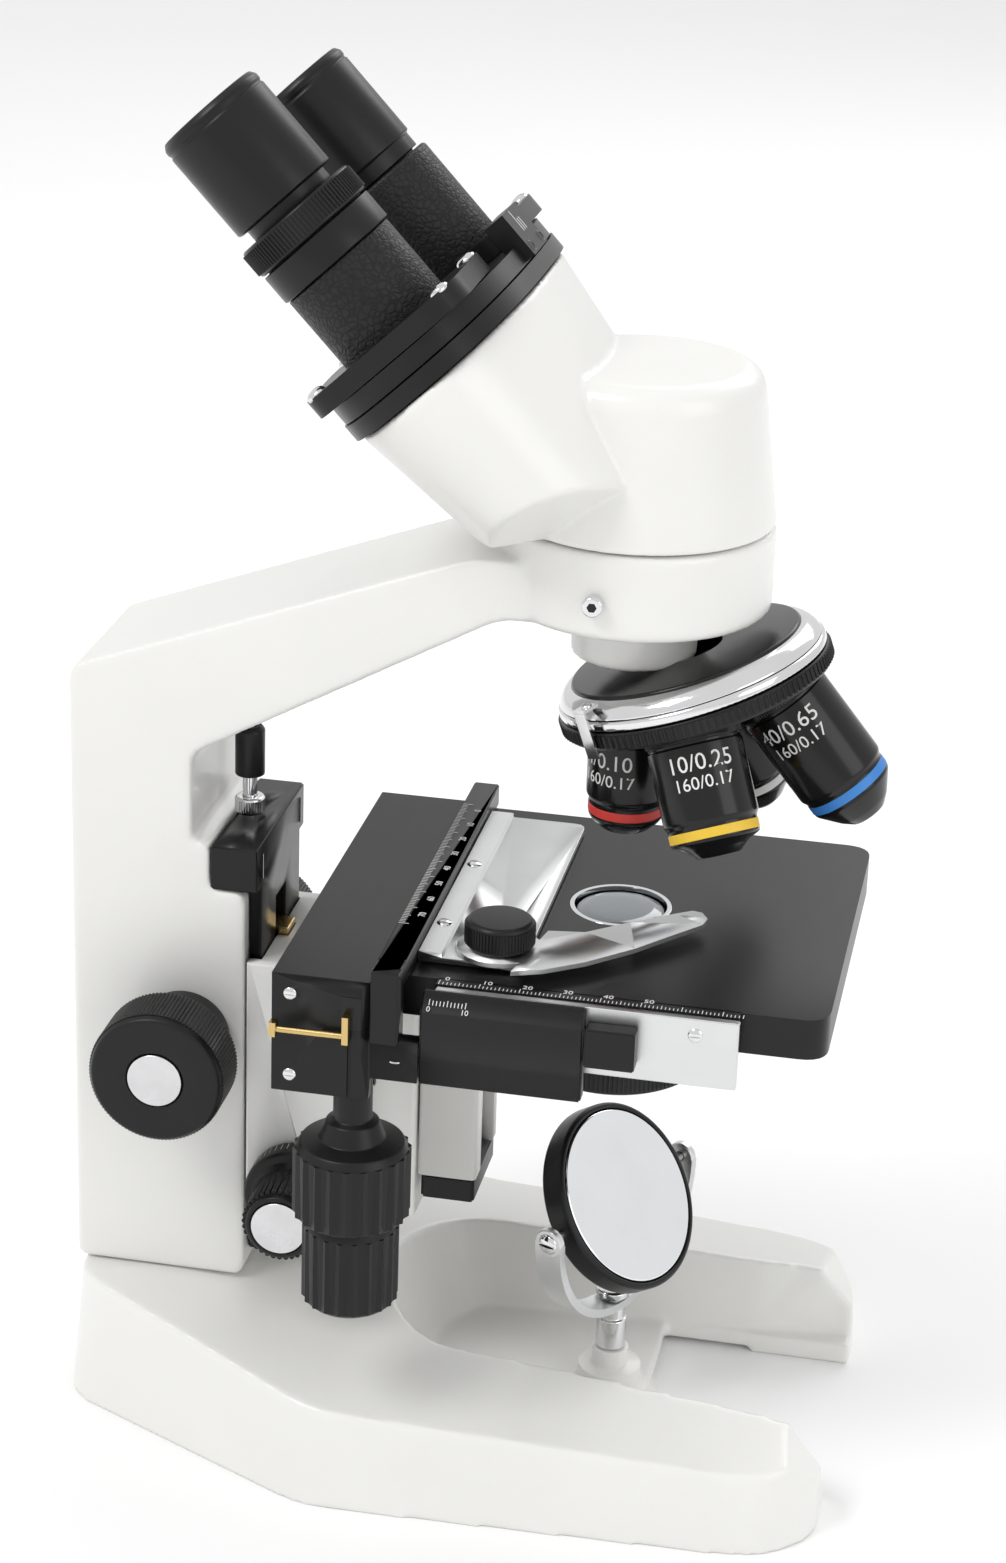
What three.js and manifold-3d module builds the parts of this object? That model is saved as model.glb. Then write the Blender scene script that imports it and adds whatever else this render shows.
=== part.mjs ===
// Upright binocular microscope, millimetres, +Z up.
// X = 0, Y = 0 is the optical axis; +X runs to the foot tips, -Y is the user's right side.
import * as THREE from 'three';
import { mergeVertices } from 'three/addons/utils/BufferGeometryUtils.js';
import Module from 'manifold-3d';

const wasm = await Module();
wasm.setup();

// ---- driving dimensions (mm) ----
const GAP = 0.3;                 // parting gap between touching pieces
const BASE_ROOF = 38;            // height of the base top where the pillar stands
const PILLAR_HALF = 24.15;       // half width of the pillar and arm
const RING_R = 33.7;             // arm ring radius
const SEAM_Z = 253.4;            // top of the arm ring
const AXLE_X = -109.6;           // coarse focus axle
const AXLE_Z = 109.5;
const COARSE_R = 18;
const FINE_X = -78.6;            // fine focus axle
const FINE_Z = 67.5;
const PLATE_Z0 = 137.7;          // stage plate underside
const PLATE_Z1 = 148.3;          // stage plate top
const COAX_X = -55.5;            // travel knobs below the gear housing
const COAX_Y = -62;
const TURRET_TILT = 19.8;        // degrees, turret axis from vertical
const TURRET_O = [13.4, 0, 218.4];
const SEAT_R = 14.2;             // objective axis offset at the turret origin
const TUBE_TILT = -43.5;         // degrees about Y, local z becomes the tube direction
const HEAD_O = [-81, 0, 331];
const TUBE_Y = 32;               // half the eye distance
const MIRROR_O = [3.0, 0.8, 62.3];
const MIRROR_TURN = -25.3;       // degrees about Z, fork plane

const FACETING = 0.55;          // share of the nominal facet count on round pieces

const DEG = Math.PI / 180;

// ---- finishes ----
function finish(color, roughness, metalness) {
  return () => new THREE.MeshStandardMaterial({ color, roughness, metalness });
}
const ENAMEL = finish(0xe9e8e4, 0.38, 0.0);
const BLACK = finish(0x17181a, 0.45, 0.0);
const LEATHER = finish(0x141415, 0.6, 0.0);
const CHROME = finish(0xc9ccd0, 0.15, 1.0);
const SATIN = finish(0xb4b7ba, 0.35, 1.0);
const BRASS = finish(0xb8934a, 0.3, 1.0);
const GLASS = finish(0xbfcfd6, 0.05, 0.2);
const MIRROR = finish(0xe6e8ea, 0.03, 1.0);

// ---- geometry helpers ----
function toSolid(geometry) {
  const g = geometry.index ? geometry.toNonIndexed() : geometry.clone();
  g.deleteAttribute('normal');
  g.deleteAttribute('uv');
  const m = mergeVertices(g, 1e-4);
  return new wasm.Manifold(new wasm.Mesh({
    numProp: 3,
    vertProperties: new Float32Array(m.attributes.position.array),
    triVerts: new Uint32Array(m.index.array),
  }));
}

function toGeometry(solid) {
  const mesh = solid.getMesh();
  const g = new THREE.BufferGeometry();
  g.setAttribute('position', new THREE.BufferAttribute(new Float32Array(mesh.vertProperties), 3));
  g.setIndex(new THREE.BufferAttribute(new Uint32Array(mesh.triVerts), 1));
  g.computeVertexNormals();
  return g;
}

function join(...parts) {
  return toGeometry(parts.map(toSolid).reduce((a, b) => a.add(b)));
}

function cut(body, ...tools) {
  return toGeometry(tools.map(toSolid).reduce((a, b) => a.subtract(b), toSolid(body)));
}

function meet(a, b) {
  return toGeometry(toSolid(a).intersect(toSolid(b)));
}

function box(x0, x1, y0, y1, z0, z1) {
  const g = new THREE.BoxGeometry(x1 - x0, y1 - y0, z1 - z0);
  g.translate((x0 + x1) / 2, (y0 + y1) / 2, (z0 + z1) / 2);
  return g;
}

// solid of revolution about +Z from [radius, z] points, bottom to top
function turned(points, seg = 40) {
  const profile = points.map((p) => new THREE.Vector2(p[0], p[1]));
  if (profile[0].x > 0) profile.unshift(new THREE.Vector2(0, profile[0].y));
  const last = profile[profile.length - 1];
  if (last.x > 0) profile.push(new THREE.Vector2(0, last.y));
  const g = new THREE.LatheGeometry(profile, Math.max(8, 4 * Math.round(seg * FACETING / 4)));
  g.rotateX(Math.PI / 2);
  return g;
}

function rod(r, z0, z1, seg = 24) {
  return turned([[r, z0], [r, z1]], seg);
}

function put(g, x, y, z) {
  g.translate(x, y, z);
  return g;
}

// +Z solid laid along +Y at (x, z); side -1 mirrors it to -Y
function alongY(g, x, z, side = 1) {
  g.rotateX(side > 0 ? -Math.PI / 2 : Math.PI / 2);
  g.translate(x, 0, z);
  return g;
}

function alongX(g, y, z) {
  g.rotateY(Math.PI / 2);
  g.translate(0, y, z);
  return g;
}

// plan outline [x, y] raised from z0 to z1
function slab(points, z0, z1, bevel = 0) {
  const shape = new THREE.Shape(points.map((p) => new THREE.Vector2(p[0], p[1])));
  const g = new THREE.ExtrudeGeometry(shape, {
    depth: z1 - z0 - 2 * bevel,
    bevelEnabled: bevel > 0,
    bevelThickness: bevel,
    bevelSize: bevel,
    bevelOffset: -bevel,
    bevelSegments: 2,
    steps: 1,
  });
  g.translate(0, 0, z0 + bevel);
  return g;
}

// side outline [x, z] given thickness from y0 to y1
function plateY(points, y0, y1, bevel = 0) {
  const g = slab(points, -y1, -y0, bevel);
  g.rotateX(Math.PI / 2);
  return g;
}

function rounded(points, radii, seg = 4) {
  const out = [];
  const n = points.length;
  for (let i = 0; i < n; i += 1) {
    const p = new THREE.Vector2(...points[i]);
    const a = new THREE.Vector2(...points[(i + n - 1) % n]).sub(p);
    const b = new THREE.Vector2(...points[(i + 1) % n]).sub(p);
    const r = Array.isArray(radii) ? radii[i] : radii;
    if (r <= 0) {
      out.push([p.x, p.y]);
      continue;
    }
    const la = Math.min(a.length() * 0.48, r / Math.tan(Math.acos(a.dot(b) / a.length() / b.length()) / 2));
    const p0 = p.clone().addScaledVector(a.normalize(), la);
    const p1 = p.clone().addScaledVector(b.normalize(), la);
    for (let k = 0; k <= seg; k += 1) {
      const t = k / seg;
      out.push([
        (1 - t) * (1 - t) * p0.x + 2 * t * (1 - t) * p.x + t * t * p1.x,
        (1 - t) * (1 - t) * p0.y + 2 * t * (1 - t) * p.y + t * t * p1.y,
      ]);
    }
  }
  return out;
}

function stadium(half, r, seg = 10) {
  const out = [];
  for (let i = 0; i <= seg; i += 1) {
    const a = -Math.PI / 2 + (Math.PI * i) / seg;
    out.push([half + r * Math.cos(a), r * Math.sin(a)]);
  }
  for (let i = 0; i <= seg; i += 1) {
    const a = Math.PI / 2 + (Math.PI * i) / seg;
    out.push([-half + r * Math.cos(a), r * Math.sin(a)]);
  }
  return out;
}

// solid between two outlines with the same number of points
function loft(lower, upper, z0, z1) {
  const n = lower.length;
  const pos = [];
  lower.forEach((p) => pos.push(p[0], p[1], z0));
  upper.forEach((p) => pos.push(p[0], p[1], z1));
  const idx = [];
  for (let i = 0; i < n; i += 1) {
    const j = (i + 1) % n;
    idx.push(i, j, n + j, i, n + j, n + i);
  }
  const cap = (pts) => THREE.ShapeUtils.triangulateShape(pts.map((p) => new THREE.Vector2(...p)), []);
  cap(lower).forEach((t) => idx.push(t[0], t[2], t[1]));
  cap(upper).forEach((t) => idx.push(n + t[0], n + t[1], n + t[2]));
  const g = new THREE.BufferGeometry();
  g.setAttribute('position', new THREE.Float32BufferAttribute(pos, 3));
  g.setIndex(idx);
  return g;
}

function mesh(name, geometry, material) {
  const g = geometry.index ? geometry.toNonIndexed() : geometry;
  g.deleteAttribute('uv');
  g.computeVertexNormals();
  const m = new THREE.Mesh(g, material());
  m.name = name;
  return m;
}

// ---- placement frames ----
function inHead(g) {
  g.rotateY(TUBE_TILT * DEG);
  g.translate(...HEAD_O);
  return g;
}

// local z points down along the turret axis, local x to the foot tips
function inTurret(g) {
  g.rotateX(Math.PI);
  g.rotateY(-TURRET_TILT * DEG);
  g.translate(...TURRET_O);
  return g;
}

function inSeat(g, phi) {
  g.rotateY(TURRET_TILT * DEG);
  g.translate(SEAT_R, 0, 0);
  g.rotateZ(phi * DEG);
  return inTurret(g);
}

function inMirror(g) {
  g.rotateZ(MIRROR_TURN * DEG);
  g.translate(MIRROR_O[0], MIRROR_O[1], 0);
  return g;
}

// ---- stand ----
function baseCasting() {
  const foot = [[-141.3, -32.4], [-66, -70], [39.6, -65.5], [54, -63.5], [66, -52],
    [66, 52], [54, 63.5], [39.6, 65.5], [-66, 70], [-141.3, 32.4]];
  const roof = foot.map((p) => [p[0] * 0.975, p[1] * 0.95]);
  const radii = [8, 12, 10, 8, 6, 6, 8, 10, 12, 8];
  const block = loft(rounded(foot, radii), rounded(roof, radii), 0, 46);
  const roofLine = (x, y) => 35.34 - 0.0549 * x - 0.159 * Math.abs(y);
  const wedge = (s) => {
    const pts = [[-170, 0], [90, 0], [90, 90 * s], [-170, 90 * s]];
    const pos = [];
    pts.forEach((p) => pos.push(p[0], p[1], roofLine(p[0], p[1])));
    pts.forEach((p) => pos.push(p[0], p[1], 80));
    const order = s > 0 ? [0, 1, 2, 3] : [3, 2, 1, 0];
    const lower = order.map((k) => pos.slice(3 * k, 3 * k + 3));
    const upper = order.map((k) => pos.slice(12 + 3 * k, 15 + 3 * k));
    const b = new THREE.BufferGeometry();
    b.setAttribute('position', new THREE.Float32BufferAttribute([...lower.flat(), ...upper.flat()], 3));
    b.setIndex([0, 2, 1, 0, 3, 2, 4, 5, 6, 4, 6, 7, 0, 1, 5, 0, 5, 4, 1, 2, 6, 1, 6, 5,
      2, 3, 7, 2, 7, 6, 3, 0, 4, 3, 4, 7]);
    return b;
  };
  const arc = (cx, a, b) => {
    const out = [];
    for (let i = 0; i <= 12; i += 1) {
      const t = (90 + 15 * i) * DEG;
      out.push([cx + a * Math.cos(t), b * Math.sin(t)]);
    }
    return out;
  };
  const slotLow = [...arc(-32, 17, 31), [3.2, -33.8], [38.9, -35.7], [62, -39.8], [80, -41],
    [80, 41], [62, 39.8], [38.9, 35.7], [3.2, 33.8]];
  const slotTop = [...arc(-35, 25, 36), [10, -38], [40, -39.4], [57, -40.4], [80, -42],
    [80, 42], [57, 40.4], [40, 39.4], [10, 38]];
  const slot = loft(slotLow, slotTop, -1, 46);
  const pad = box(-141, -92, -26, 26, 30, BASE_ROOF);
  const crown = box(-200, 100, -90, 90, BASE_ROOF, 90);
  const web = meet(box(-56, 14, -37, 37, 0, 6), loft(rounded(foot, radii), rounded(foot, radii), 0, 40));
  const bossPad = put(turned([[8.6, 5], [8.6, 11.5], [4.8, 11.5], [4.8, 17]], 32), MIRROR_O[0], MIRROR_O[1], 0);
  const chamfer = plateY([[57, 24.4], [67.5, 12.4], [80, 12.4], [80, 60], [57, 60]], -90, 90);
  const relief = [
    slab([[-100, -46], [-58, -64], [38, -60], [38, 60], [-58, 64], [-100, 46]], -1, 1.6),
    put(rod(7, -1, 22, 32), -122, -15, 0),
    put(rod(7, -1, 22, 32), -122, 15, 0),
  ];
  const shell = cut(join(cut(block, slot, wedge(1), wedge(-1)), meet(pad, block)), crown, chamfer, ...relief);
  const floor = cut(web, box(-60, 20, -40, 40, -1, 1.6));
  const pads = join(floor, rod(14, 0, 3, 32));
  const bolts = [-15, 15].map((y) => put(rod(3.3, 10, 50, 16), -122, y, 0));
  const bore = put(rod(2.75, 3, 30, 28), MIRROR_O[0], MIRROR_O[1], 0);
  return cut(join(shell, pads, bossPad), bore, ...bolts);
}

function armCasting() {
  const side = [[-140, BASE_ROOF + GAP], [-94, BASE_ROOF + GAP], [-94, 150.7], [-103.3, 150.7],
    [-103.3, 163.4], [-108, 163.4], [-108, 187.6], [-95.2, 194.7], [-30.5, 230.9], [-12, 231.5],
    [0, 231.5], [0, 246], [-37.2, 246.5], [-138.4, 209], [-140, 206]];
  const radii = [0, 0, 0, 0, 0, 0, 5, 8, 10, 0, 0, 0, 0, 6, 3];
  const arm = plateY(rounded(side, radii, 3), -PILLAR_HALF, PILLAR_HALF, 2.2);
  const ring = turned([[RING_R - 1.5, 231.5], [RING_R, 233], [RING_R, SEAM_Z]], 56);
  const boss = rod(15.8, 217.7, 233, 40);
  const gears = box(-118.5, -92, -9, 9, 70, 146);
  const axle = alongY(rod(4.2, -40, 40), AXLE_X, AXLE_Z);
  const light = rod(12.5, 200, 260, 32);
  const seat = rod(22, 246, 260, 40);
  const screw = alongY(rod(2.45, 20, 60, 20), -5.4, 241.2, -1);
  const bolts = [-15, 15].map((y) => put(rod(3.3, 30, 60, 16), -122, y, 0));
  const stop = put(rod(2.1, 160, 215, 20), -99, 0, 0);
  const studs = [90, 210, 330].map((a) => put(rod(1.2, 210, 224, 12),
    13.8 * Math.cos(a * DEG), 13.8 * Math.sin(a * DEG), 0));
  return cut(join(arm, ring, boss), gears, axle, light, seat, screw, stop, ...bolts, ...studs);
}

function pillarBolt(y) {
  const head = rod(5.5, 16.4, 21.7, 6);
  return put(join(head, rod(3, 20, 58, 16)), -122, y, 0);
}

function dovetailRail() {
  const rail = box(-93.7, -90.5, -20, 20, 45, 151.3);
  const block = box(-103, -90.5, -24.15, 24.15, 151, 163.1);
  const slot = box(-95, -89, -4.8, 4.8, 66, 142);
  const stop = put(rod(2.1, 140, 170, 20), -99, 0, 0);
  return cut(join(rail, block), slot, stop);
}

function stopParts() {
  const at = (g) => put(g, -99, 0, 0);
  const sleeve = at(turned([[3.9, 174.2], [3.9, 187.2], [3, 187.8]], 28));
  return [
    mesh('stop_screw', at(turned([[1.85, 153], [1.85, 173.9]], 20)), CHROME),
    mesh('stop_nut', at(cut(turned([[3.5, 163.5], [3.9, 164], [3.9, 167.6], [3.5, 168.1]], 28), rod(2.0, 160, 180, 20))), CHROME),
    mesh('stop_sleeve', cut(sleeve, at(rod(2.05, 170, 180, 20))), BLACK),
  ];
}

function tensionCollar(side) {
  const ring = turned([[12, PILLAR_HALF + GAP], [12, 33], [11, 35.6]], 40);
  return alongY(cut(ring, rod(4.2, 20, 40)), AXLE_X, AXLE_Z, side);
}

function nosepieceCap() {
  const dish = inTurret(turned([[29, -1.6], [31.5, -0.4], [33.4, 1.4], [34, 2.8], [11.4, 2.8], [11.4, 5]], 48));
  const neck = meet(rod(15.8, 200, 217.4, 40), inTurret(turned([[60, -30], [60, 0]], 8)));
  const clear = rod(16.2, 217.4, 250, 40);
  const light = rod(10, 190, 240, 28);
  const stud = inTurret(rod(4.2, -0.6, 30, 24));
  return cut(join(dish, neck), clear, light, stud);
}

function turretStud() {
  const g = turned([[4, 2.6], [4, 17.4], [6.5, 17.4], [6.5, 19.4], [5.6, 20]], 32);
  return inTurret(cut(g, put(box(-7, 7, -0.6, 0.6, 19, 21), 0, 0, 0)));
}

function headLockScrew() {
  const stem = rod(2.25, 22.4, 34.6, 20);
  const head = turned([[2.3, 34], [2.6, 34.4], [2.6, 36.5], [2.3, 36.9]], 28);
  return alongY(cut(join(stem, head), rod(1.3, 35.6, 42, 6)), -5.4, 241.2, -1);
}

function standParts() {
  return [
    mesh('base_casting', baseCasting(), ENAMEL),
    mesh('arm_casting', armCasting(), ENAMEL),
    mesh('pillar_bolt_right', pillarBolt(-15), SATIN),
    mesh('pillar_bolt_left', pillarBolt(15), SATIN),
    mesh('dovetail_rail', dovetailRail(), BLACK),
    mesh('tension_collar_right', tensionCollar(-1), BLACK),
    mesh('tension_collar_left', tensionCollar(1), BLACK),
    mesh('nosepiece_cap', nosepieceCap(), BLACK),
    mesh('turret_stud', turretStud(), SATIN),
    mesh('head_lock_screw', headLockScrew(), CHROME),
    ...stopParts(),
  ];
}

// ---- focus drives ----
function coarseParts() {
  const shaft = join(
    alongY(rod(4, -48, 48), AXLE_X, AXLE_Z),
    alongY(rod(5.7, -8, 8, 32), AXLE_X, AXLE_Z),
  );
  const knob = (side) => {
    const body = turned([[14, 36], [16.2, 36.6], [COARSE_R, 38.4], [COARSE_R, 51.4], [16.6, 53], [7.6, 53],
      [7.6, 52], [4.2, 52], [4.2, 48.3]], 48);
    return alongY(cut(body, rod(4.2, 30, 48.3)), AXLE_X, AXLE_Z, side);
  };
  const disc = (side) => alongY(turned([[7.1, 52.3], [7.1, 53.2]], 40), AXLE_X, AXLE_Z, side);
  return [
    mesh('coarse_shaft', shaft, SATIN),
    mesh('coarse_knob_right', knob(-1), BLACK),
    mesh('coarse_knob_left', knob(1), BLACK),
    mesh('coarse_disc_right', disc(-1), SATIN),
    mesh('coarse_disc_left', disc(1), SATIN),
  ];
}

function stageCarrier() {
  const body = join(
    slab(rounded([[-93.4, -24.2], [-65, -24.2], [-65, 24.2], [-93.4, 24.2]], [1, 3, 3, 1], 3), 55, 131),
    slab(rounded([[-70, -15], [-49.4, -15], [-49.4, 15], [-70, 15]], [0, 1.5, 1.5, 0], 3), 58, 131),
  );
  const way = box(-96, -90.2, -20.3, 20.3, 40, 140);
  const rackSeat = box(-92, -87.2, -4.3, 4.3, 50, 140);
  const axle = alongY(rod(3.2, -40, 40), FINE_X, FINE_Z);
  const guide = box(-58, -48, -5.3, 5.3, 76, 126);
  return cut(body, way, rackSeat, axle, guide);
}

function focusRack() {
  return box(-103.7, -87.5, -4, 4, 86, 133);
}

function fineParts() {
  const knob = (side) => {
    const body = turned([[13.6, PILLAR_HALF + 0.5], [13.6, 30.4], [13, 31], [11.6, 31.2], [10.6, 33], [9.6, 45],
      [8.8, 46.5], [7.5, 46.5], [7.5, 45.6], [3.2, 45.6], [3.2, 42.3]], 40);
    return alongY(cut(body, rod(3.2, 20, 42.3)), FINE_X, FINE_Z, side);
  };
  const disc = (side) => alongY(rod(7.2, 45.9, 46.7, 40), FINE_X, FINE_Z, side);
  return [
    mesh('fine_shaft', alongY(rod(3, -42, 42), FINE_X, FINE_Z), SATIN),
    mesh('fine_knob_right', knob(-1), BLACK),
    mesh('fine_knob_left', knob(1), BLACK),
    mesh('fine_disc_right', disc(-1), SATIN),
    mesh('fine_disc_left', disc(1), SATIN),
  ];
}

// ---- stage ----
function stageBracket() {
  const post = slab(rounded([[-48.9, -14.7], [-33.1, -14.7], [-33.1, 14.7], [-48.9, 14.7]], 1.5, 3), 70.6, 131);
  const lug = box(-57.4, -48, -5, 5, 78, 124);
  const recess = box(-36.6, -30, -7.8, 8.8, 64, 116);
  const shelf = slab(rounded([[-48.9, -18], [-30, -44], [-12, -44], [2, -32], [2, 32], [-12, 44], [-30, 44],
    [-48.9, 18]], 3, 3), 128, 137.3);
  const eye = rod(24.5, 100, 150, 40);
  return cut(join(post, lug, shelf), recess, eye);
}

function stagePlate() {
  const outline = rounded([[-62, -55.4], [-36.3, -55.4], [-36.3, -58.4], [38.3, -58.4], [38.3, -55.4],
    [59.7, -55.4], [59.7, 55.4], [-62, 55.4]], [4, 0, 0, 0, 0, 8, 8, 4], 4);
  const plate = slab(outline, PLATE_Z0, PLATE_Z1);
  return cut(plate, rod(13.4, 130, 160, 48));
}

function condenserHousing() {
  const g = turned([[21, 104], [23, 105.2], [23, 111], [21.6, 112.2], [16.4, 112.6], [16.4, 126], [18.4, 127],
    [24, 128.2], [24, 137.4]], 48);
  const slot = slab([[0, 0], [16, -48], [46, -12], [34, 0]], 113.2, 117);
  return cut(g, rod(9.6, 100, 118, 32), rod(12.1, 118, 140, 40), rod(15.3, 113.2, 117, 36), slot);
}

function condenserLens() {
  const g = turned([[9.5, 122.4], [11.9, 124], [11.9, 145.4], [11, 146.6], [6, 147.2]], 40);
  return g;
}

function irisLever() {
  const ring = cut(rod(14.8, 113.6, 116.6, 36), rod(9.6, 110, 120, 32));
  const arm = alongX(rod(1.1, 13.6, 31, 12), 0, 115.1);
  const ball = put(new THREE.SphereGeometry(2.3, 14, 10), 31.8, 0, 115.1);
  const handle = join(arm, ball);
  handle.rotateZ(-48 * DEG);
  const clear = rod(12.3, 117, 119, 12);
  return cut(join(ring, handle), clear);
}

function stageRail() {
  return cut(box(-36, 38.8, -61, -58.7, 130, 147.9), box(-20, 22, -60.1, -58, 129, 136));
}

function stageParts() {
  return [
    mesh('stage_bracket', stageBracket(), ENAMEL),
    mesh('bracket_foot', slab(rounded([[-48, -14], [-33.6, -14], [-33.6, 14], [-48, 14]], 1, 2), 63.5, 70.3), BLACK),
    mesh('stage_plate', stagePlate(), BLACK),
    mesh('stage_rail', stageRail(), SATIN),
    mesh('condenser_housing', condenserHousing(), BLACK),
    mesh('condenser_lens', condenserLens(), GLASS),
  ];
}

function carriage() {
  const housing = box(-75.1, -50.6, -68.3, -58.8, 119.4, 151.3);
  const cover = box(-75.1, -50.6, -60, 51.3, 148.8, 151.3);
  const bridge = box(-51, -38.9, -66, -61.3, 124.3, 135.2);
  const bore = put(rod(5.4, 110, 146, 24), COAX_X - 0, COAX_Y - 1, 0);
  const body = join(housing, cover, bridge);
  return cut(body, bore);
}

function vernierBlock() {
  return [[-66, 124.3], [-61.3, 124.3], [-61.3, 148.2], [-62.4, 148.2], [-66, 143.9]];
}

function alongXOutline(points, x0, x1) {
  const g = slab(points, x0, x1);
  g.rotateX(Math.PI / 2);
  g.rotateZ(Math.PI / 2);
  return g;
}

function carriageParts() {
  const block = alongXOutline(vernierBlock(), -38.6, 1.7);
  const end = box(2, 14.4, -66, -61.3, 134, 144.3);
  const rodBody = alongX(rod(0.9, -74, -56, 16), -70.1, 137);
  const drive = join(rodBody, box(-75.1, -73.4, -71.4, -68.6, 135.2, 139),
    box(-56.8, -55.2, -71.4, -68.6, 135.2, 142.6));
  return [
    mesh('x_carriage', carriage(), BLACK),
    mesh('vernier_block', block, BLACK),
    mesh('rail_end_block', end, BLACK),
    mesh('drive_rod', drive, BRASS),
  ];
}

function rulerBar() {
  const bar = box(-50.2, -43.3, -69.6, 56.5, 148.9, 155);
  const end = box(-50.2, -43.3, -69.6, -63, 135.6, 150);
  return cut(join(bar, end), box(-51, -43.6, -66.2, -61.2, 151.6, 156));
}

function holderPlate() {
  const strip = box(-43, -37, -48, 45, 148.9, 151.8);
  const outline = rounded([[-40, -48], [-17, -48], [-17, 45], [-40, 45]], [0, 3, 3, 0], 3);
  return cut(join(strip, slab(outline, 148.9, 150.6)), put(rod(1.7, 140, 160, 16), -24, -41, 0));
}

function slideFinger() {
  const blade = slab([[-18.6, -55.1], [-11.1, -51.9], [-1.8, -45], [8.9, -34], [17.4, -23.1], [23.2, -15.3], [24, -11.3],
    [22.2, -8], [19.6, -7.4], [15.5, -10.4], [5.2, -18.6], [-4.8, -27.5], [-14, -29.1]], 150.9, 152.3);
  const washer = put(rod(10.8, 150.9, 152.3, 36), -24, -41, 0);
  return cut(join(washer, blade), put(rod(1.7, 140, 160, 16), -24, -41, 0));
}

function fingerKnob() {
  const g = turned([[1.5, 149.1], [1.5, 152.5], [8, 152.6], [8.9, 153.4], [8.9, 159], [8.1, 160]], 40);
  return put(g, -24, -41, 0);
}

function travelKnobs() {
  const y = turned([[13.6, 84.4], [14.9, 85.6], [14.9, 103.4], [13.4, 105.6], [8, 106.2], [6.4, 111], [4.9, 111.6],
    [4.9, 143]], 48);
  const x = turned([[10.6, 60], [12.3, 61.6], [12.3, 82], [11.4, 84], [2.8, 84.1], [2.8, 144]], 40);
  return [
    mesh('y_drive_knob', put(cut(y, rod(3.05, 80, 150, 20)), COAX_X, COAX_Y - 1, 0), BLACK),
    mesh('x_drive_knob', put(x, COAX_X, COAX_Y - 1, 0), BLACK),
  ];
}

// ---- nosepiece ----
function turret() {
  const g = turned([[31, 3.1], [31, 5.9], [35.5, 5.9], [35.5, 9.8], [34.8, 10.6], [33, 10.6], [32.2, 4.9],
    [16, 10.3], [5.7, 13.6], [5.7, 17.1]], 44);
  const seats = [0, 90, 180, 270].map((phi) => inSeat(rod(11.9, 2, 11.2, 32), phi));
  const stud = inTurret(rod(4.15, -5, 30, 24));
  const paths = [0, 90, 180, 270].map((phi) => inSeat(rod(8.3, -10, 30, 36), phi));
  const wide = inTurret(rod(60, -20, 3.1, 8));
  const hub = inTurret(rod(11.8, 0, 5.3, 48));
  return cut(join(inTurret(g), ...seats), stud, wide, hub, ...paths);
}

function objective(phi, profile) {
  const bore = turned([[5, 6], [5, 20], [2, 30]], 20);
  const body = turned([[7.8, 6.2], [7.8, 11.5], ...profile], 36);
  return inSeat(cut(body, bore), phi);
}

function nosepieceParts() {
  const ring = turned([[34.2, 3.4], [34.8, 4], [34.8, 5.2], [34.4, 5.6]], 56);
  const low = [[10.4, 11.5], [10.4, 33.5], [9.6, 34.6], [9.6, 38.4], [7.4, 41.4], [6.6, 42.9]];
  const mid = [[11.95, 11.5], [11.95, 37], [11.2, 38.4], [11.2, 41.4], [8.8, 43.6], [5.4, 45.8]];
  const high = [[11.95, 11.5], [11.95, 42], [11.2, 43.4], [11.2, 46.6], [8.2, 49.6], [5.2, 54.9]];
  const oil = [[11.95, 11.5], [11.95, 42], [11.2, 43.4], [11.2, 47], [7.6, 50.4], [4.4, 56.4]];
  return [
    mesh('turret', turret(), BLACK),
    mesh('turret_ring', inTurret(cut(ring, rod(31.3, 0, 10, 56))), CHROME),
    mesh('objective_4x', objective(180, low), BLACK),
    mesh('objective_10x', objective(90, mid), BLACK),
    mesh('objective_40x', objective(0, high), BLACK),
    mesh('objective_100x', objective(270, oil), BLACK),
  ];
}

// ---- head ----
function prismHousing() {
  const section = (a, b, p) => {
    const out = [];
    for (let i = 0; i < 40; i += 1) {
      const t = (2 * Math.PI * i) / 40;
      const c = Math.cos(t);
      const s = Math.sin(t);
      out.push([b * Math.sign(c) * Math.abs(c) ** (2 / p), a * Math.sign(s) * Math.abs(s) ** (2 / p)]);
    }
    return out;
  };
  const wing = inHead(loft(section(42, 20, 2.2), section(55, 28.6, 2.2), -125, -51.4));
  const keep = box(-120, 60, -80, 80, 253.9, 340);
  const side = (s) => {
    const g = box(-90, 90, 0, 60, -80, 80);
    const up = new THREE.Vector3(0.47, -0.55 * s * -1, -0.69).normalize();
    const q = new THREE.Quaternion().setFromUnitVectors(new THREE.Vector3(0, 1, 0), up);
    g.applyQuaternion(q);
    g.translate(-15, 45 * s, 268);
    return g;
  };
  const neck = turned([[33.3, 253.9], [33.5, 254.6], [29.2, 288], [28, 291], [25, 293]], 56);
  const flange = rod(21.6, 246.4, 256, 40);
  const cutWing = cut(meet(wing, keep), side(1), side(-1));
  const front = box(5, 80, -80, 80, 200, 340);
  const light = rod(12, 240, 272, 32);
  const ways = [-TUBE_Y, TUBE_Y].map((y) => inHead(put(rod(10, -72, -40, 24), 0, y, 0)));
  return cut(join(cut(cutWing, front), neck, flange), light, ...ways);
}

function headBase() {
  const outline = stadium(26, 28.6).map((p) => [p[1], p[0]]).reverse();
  const ways = [-TUBE_Y, TUBE_Y].map((y) => slab(stadium(5, 11).map((p) => [p[1], p[0] + y]).reverse(), -60, -30));
  return inHead(cut(slab(outline, -51, -41.4), ...ways));
}

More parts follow.
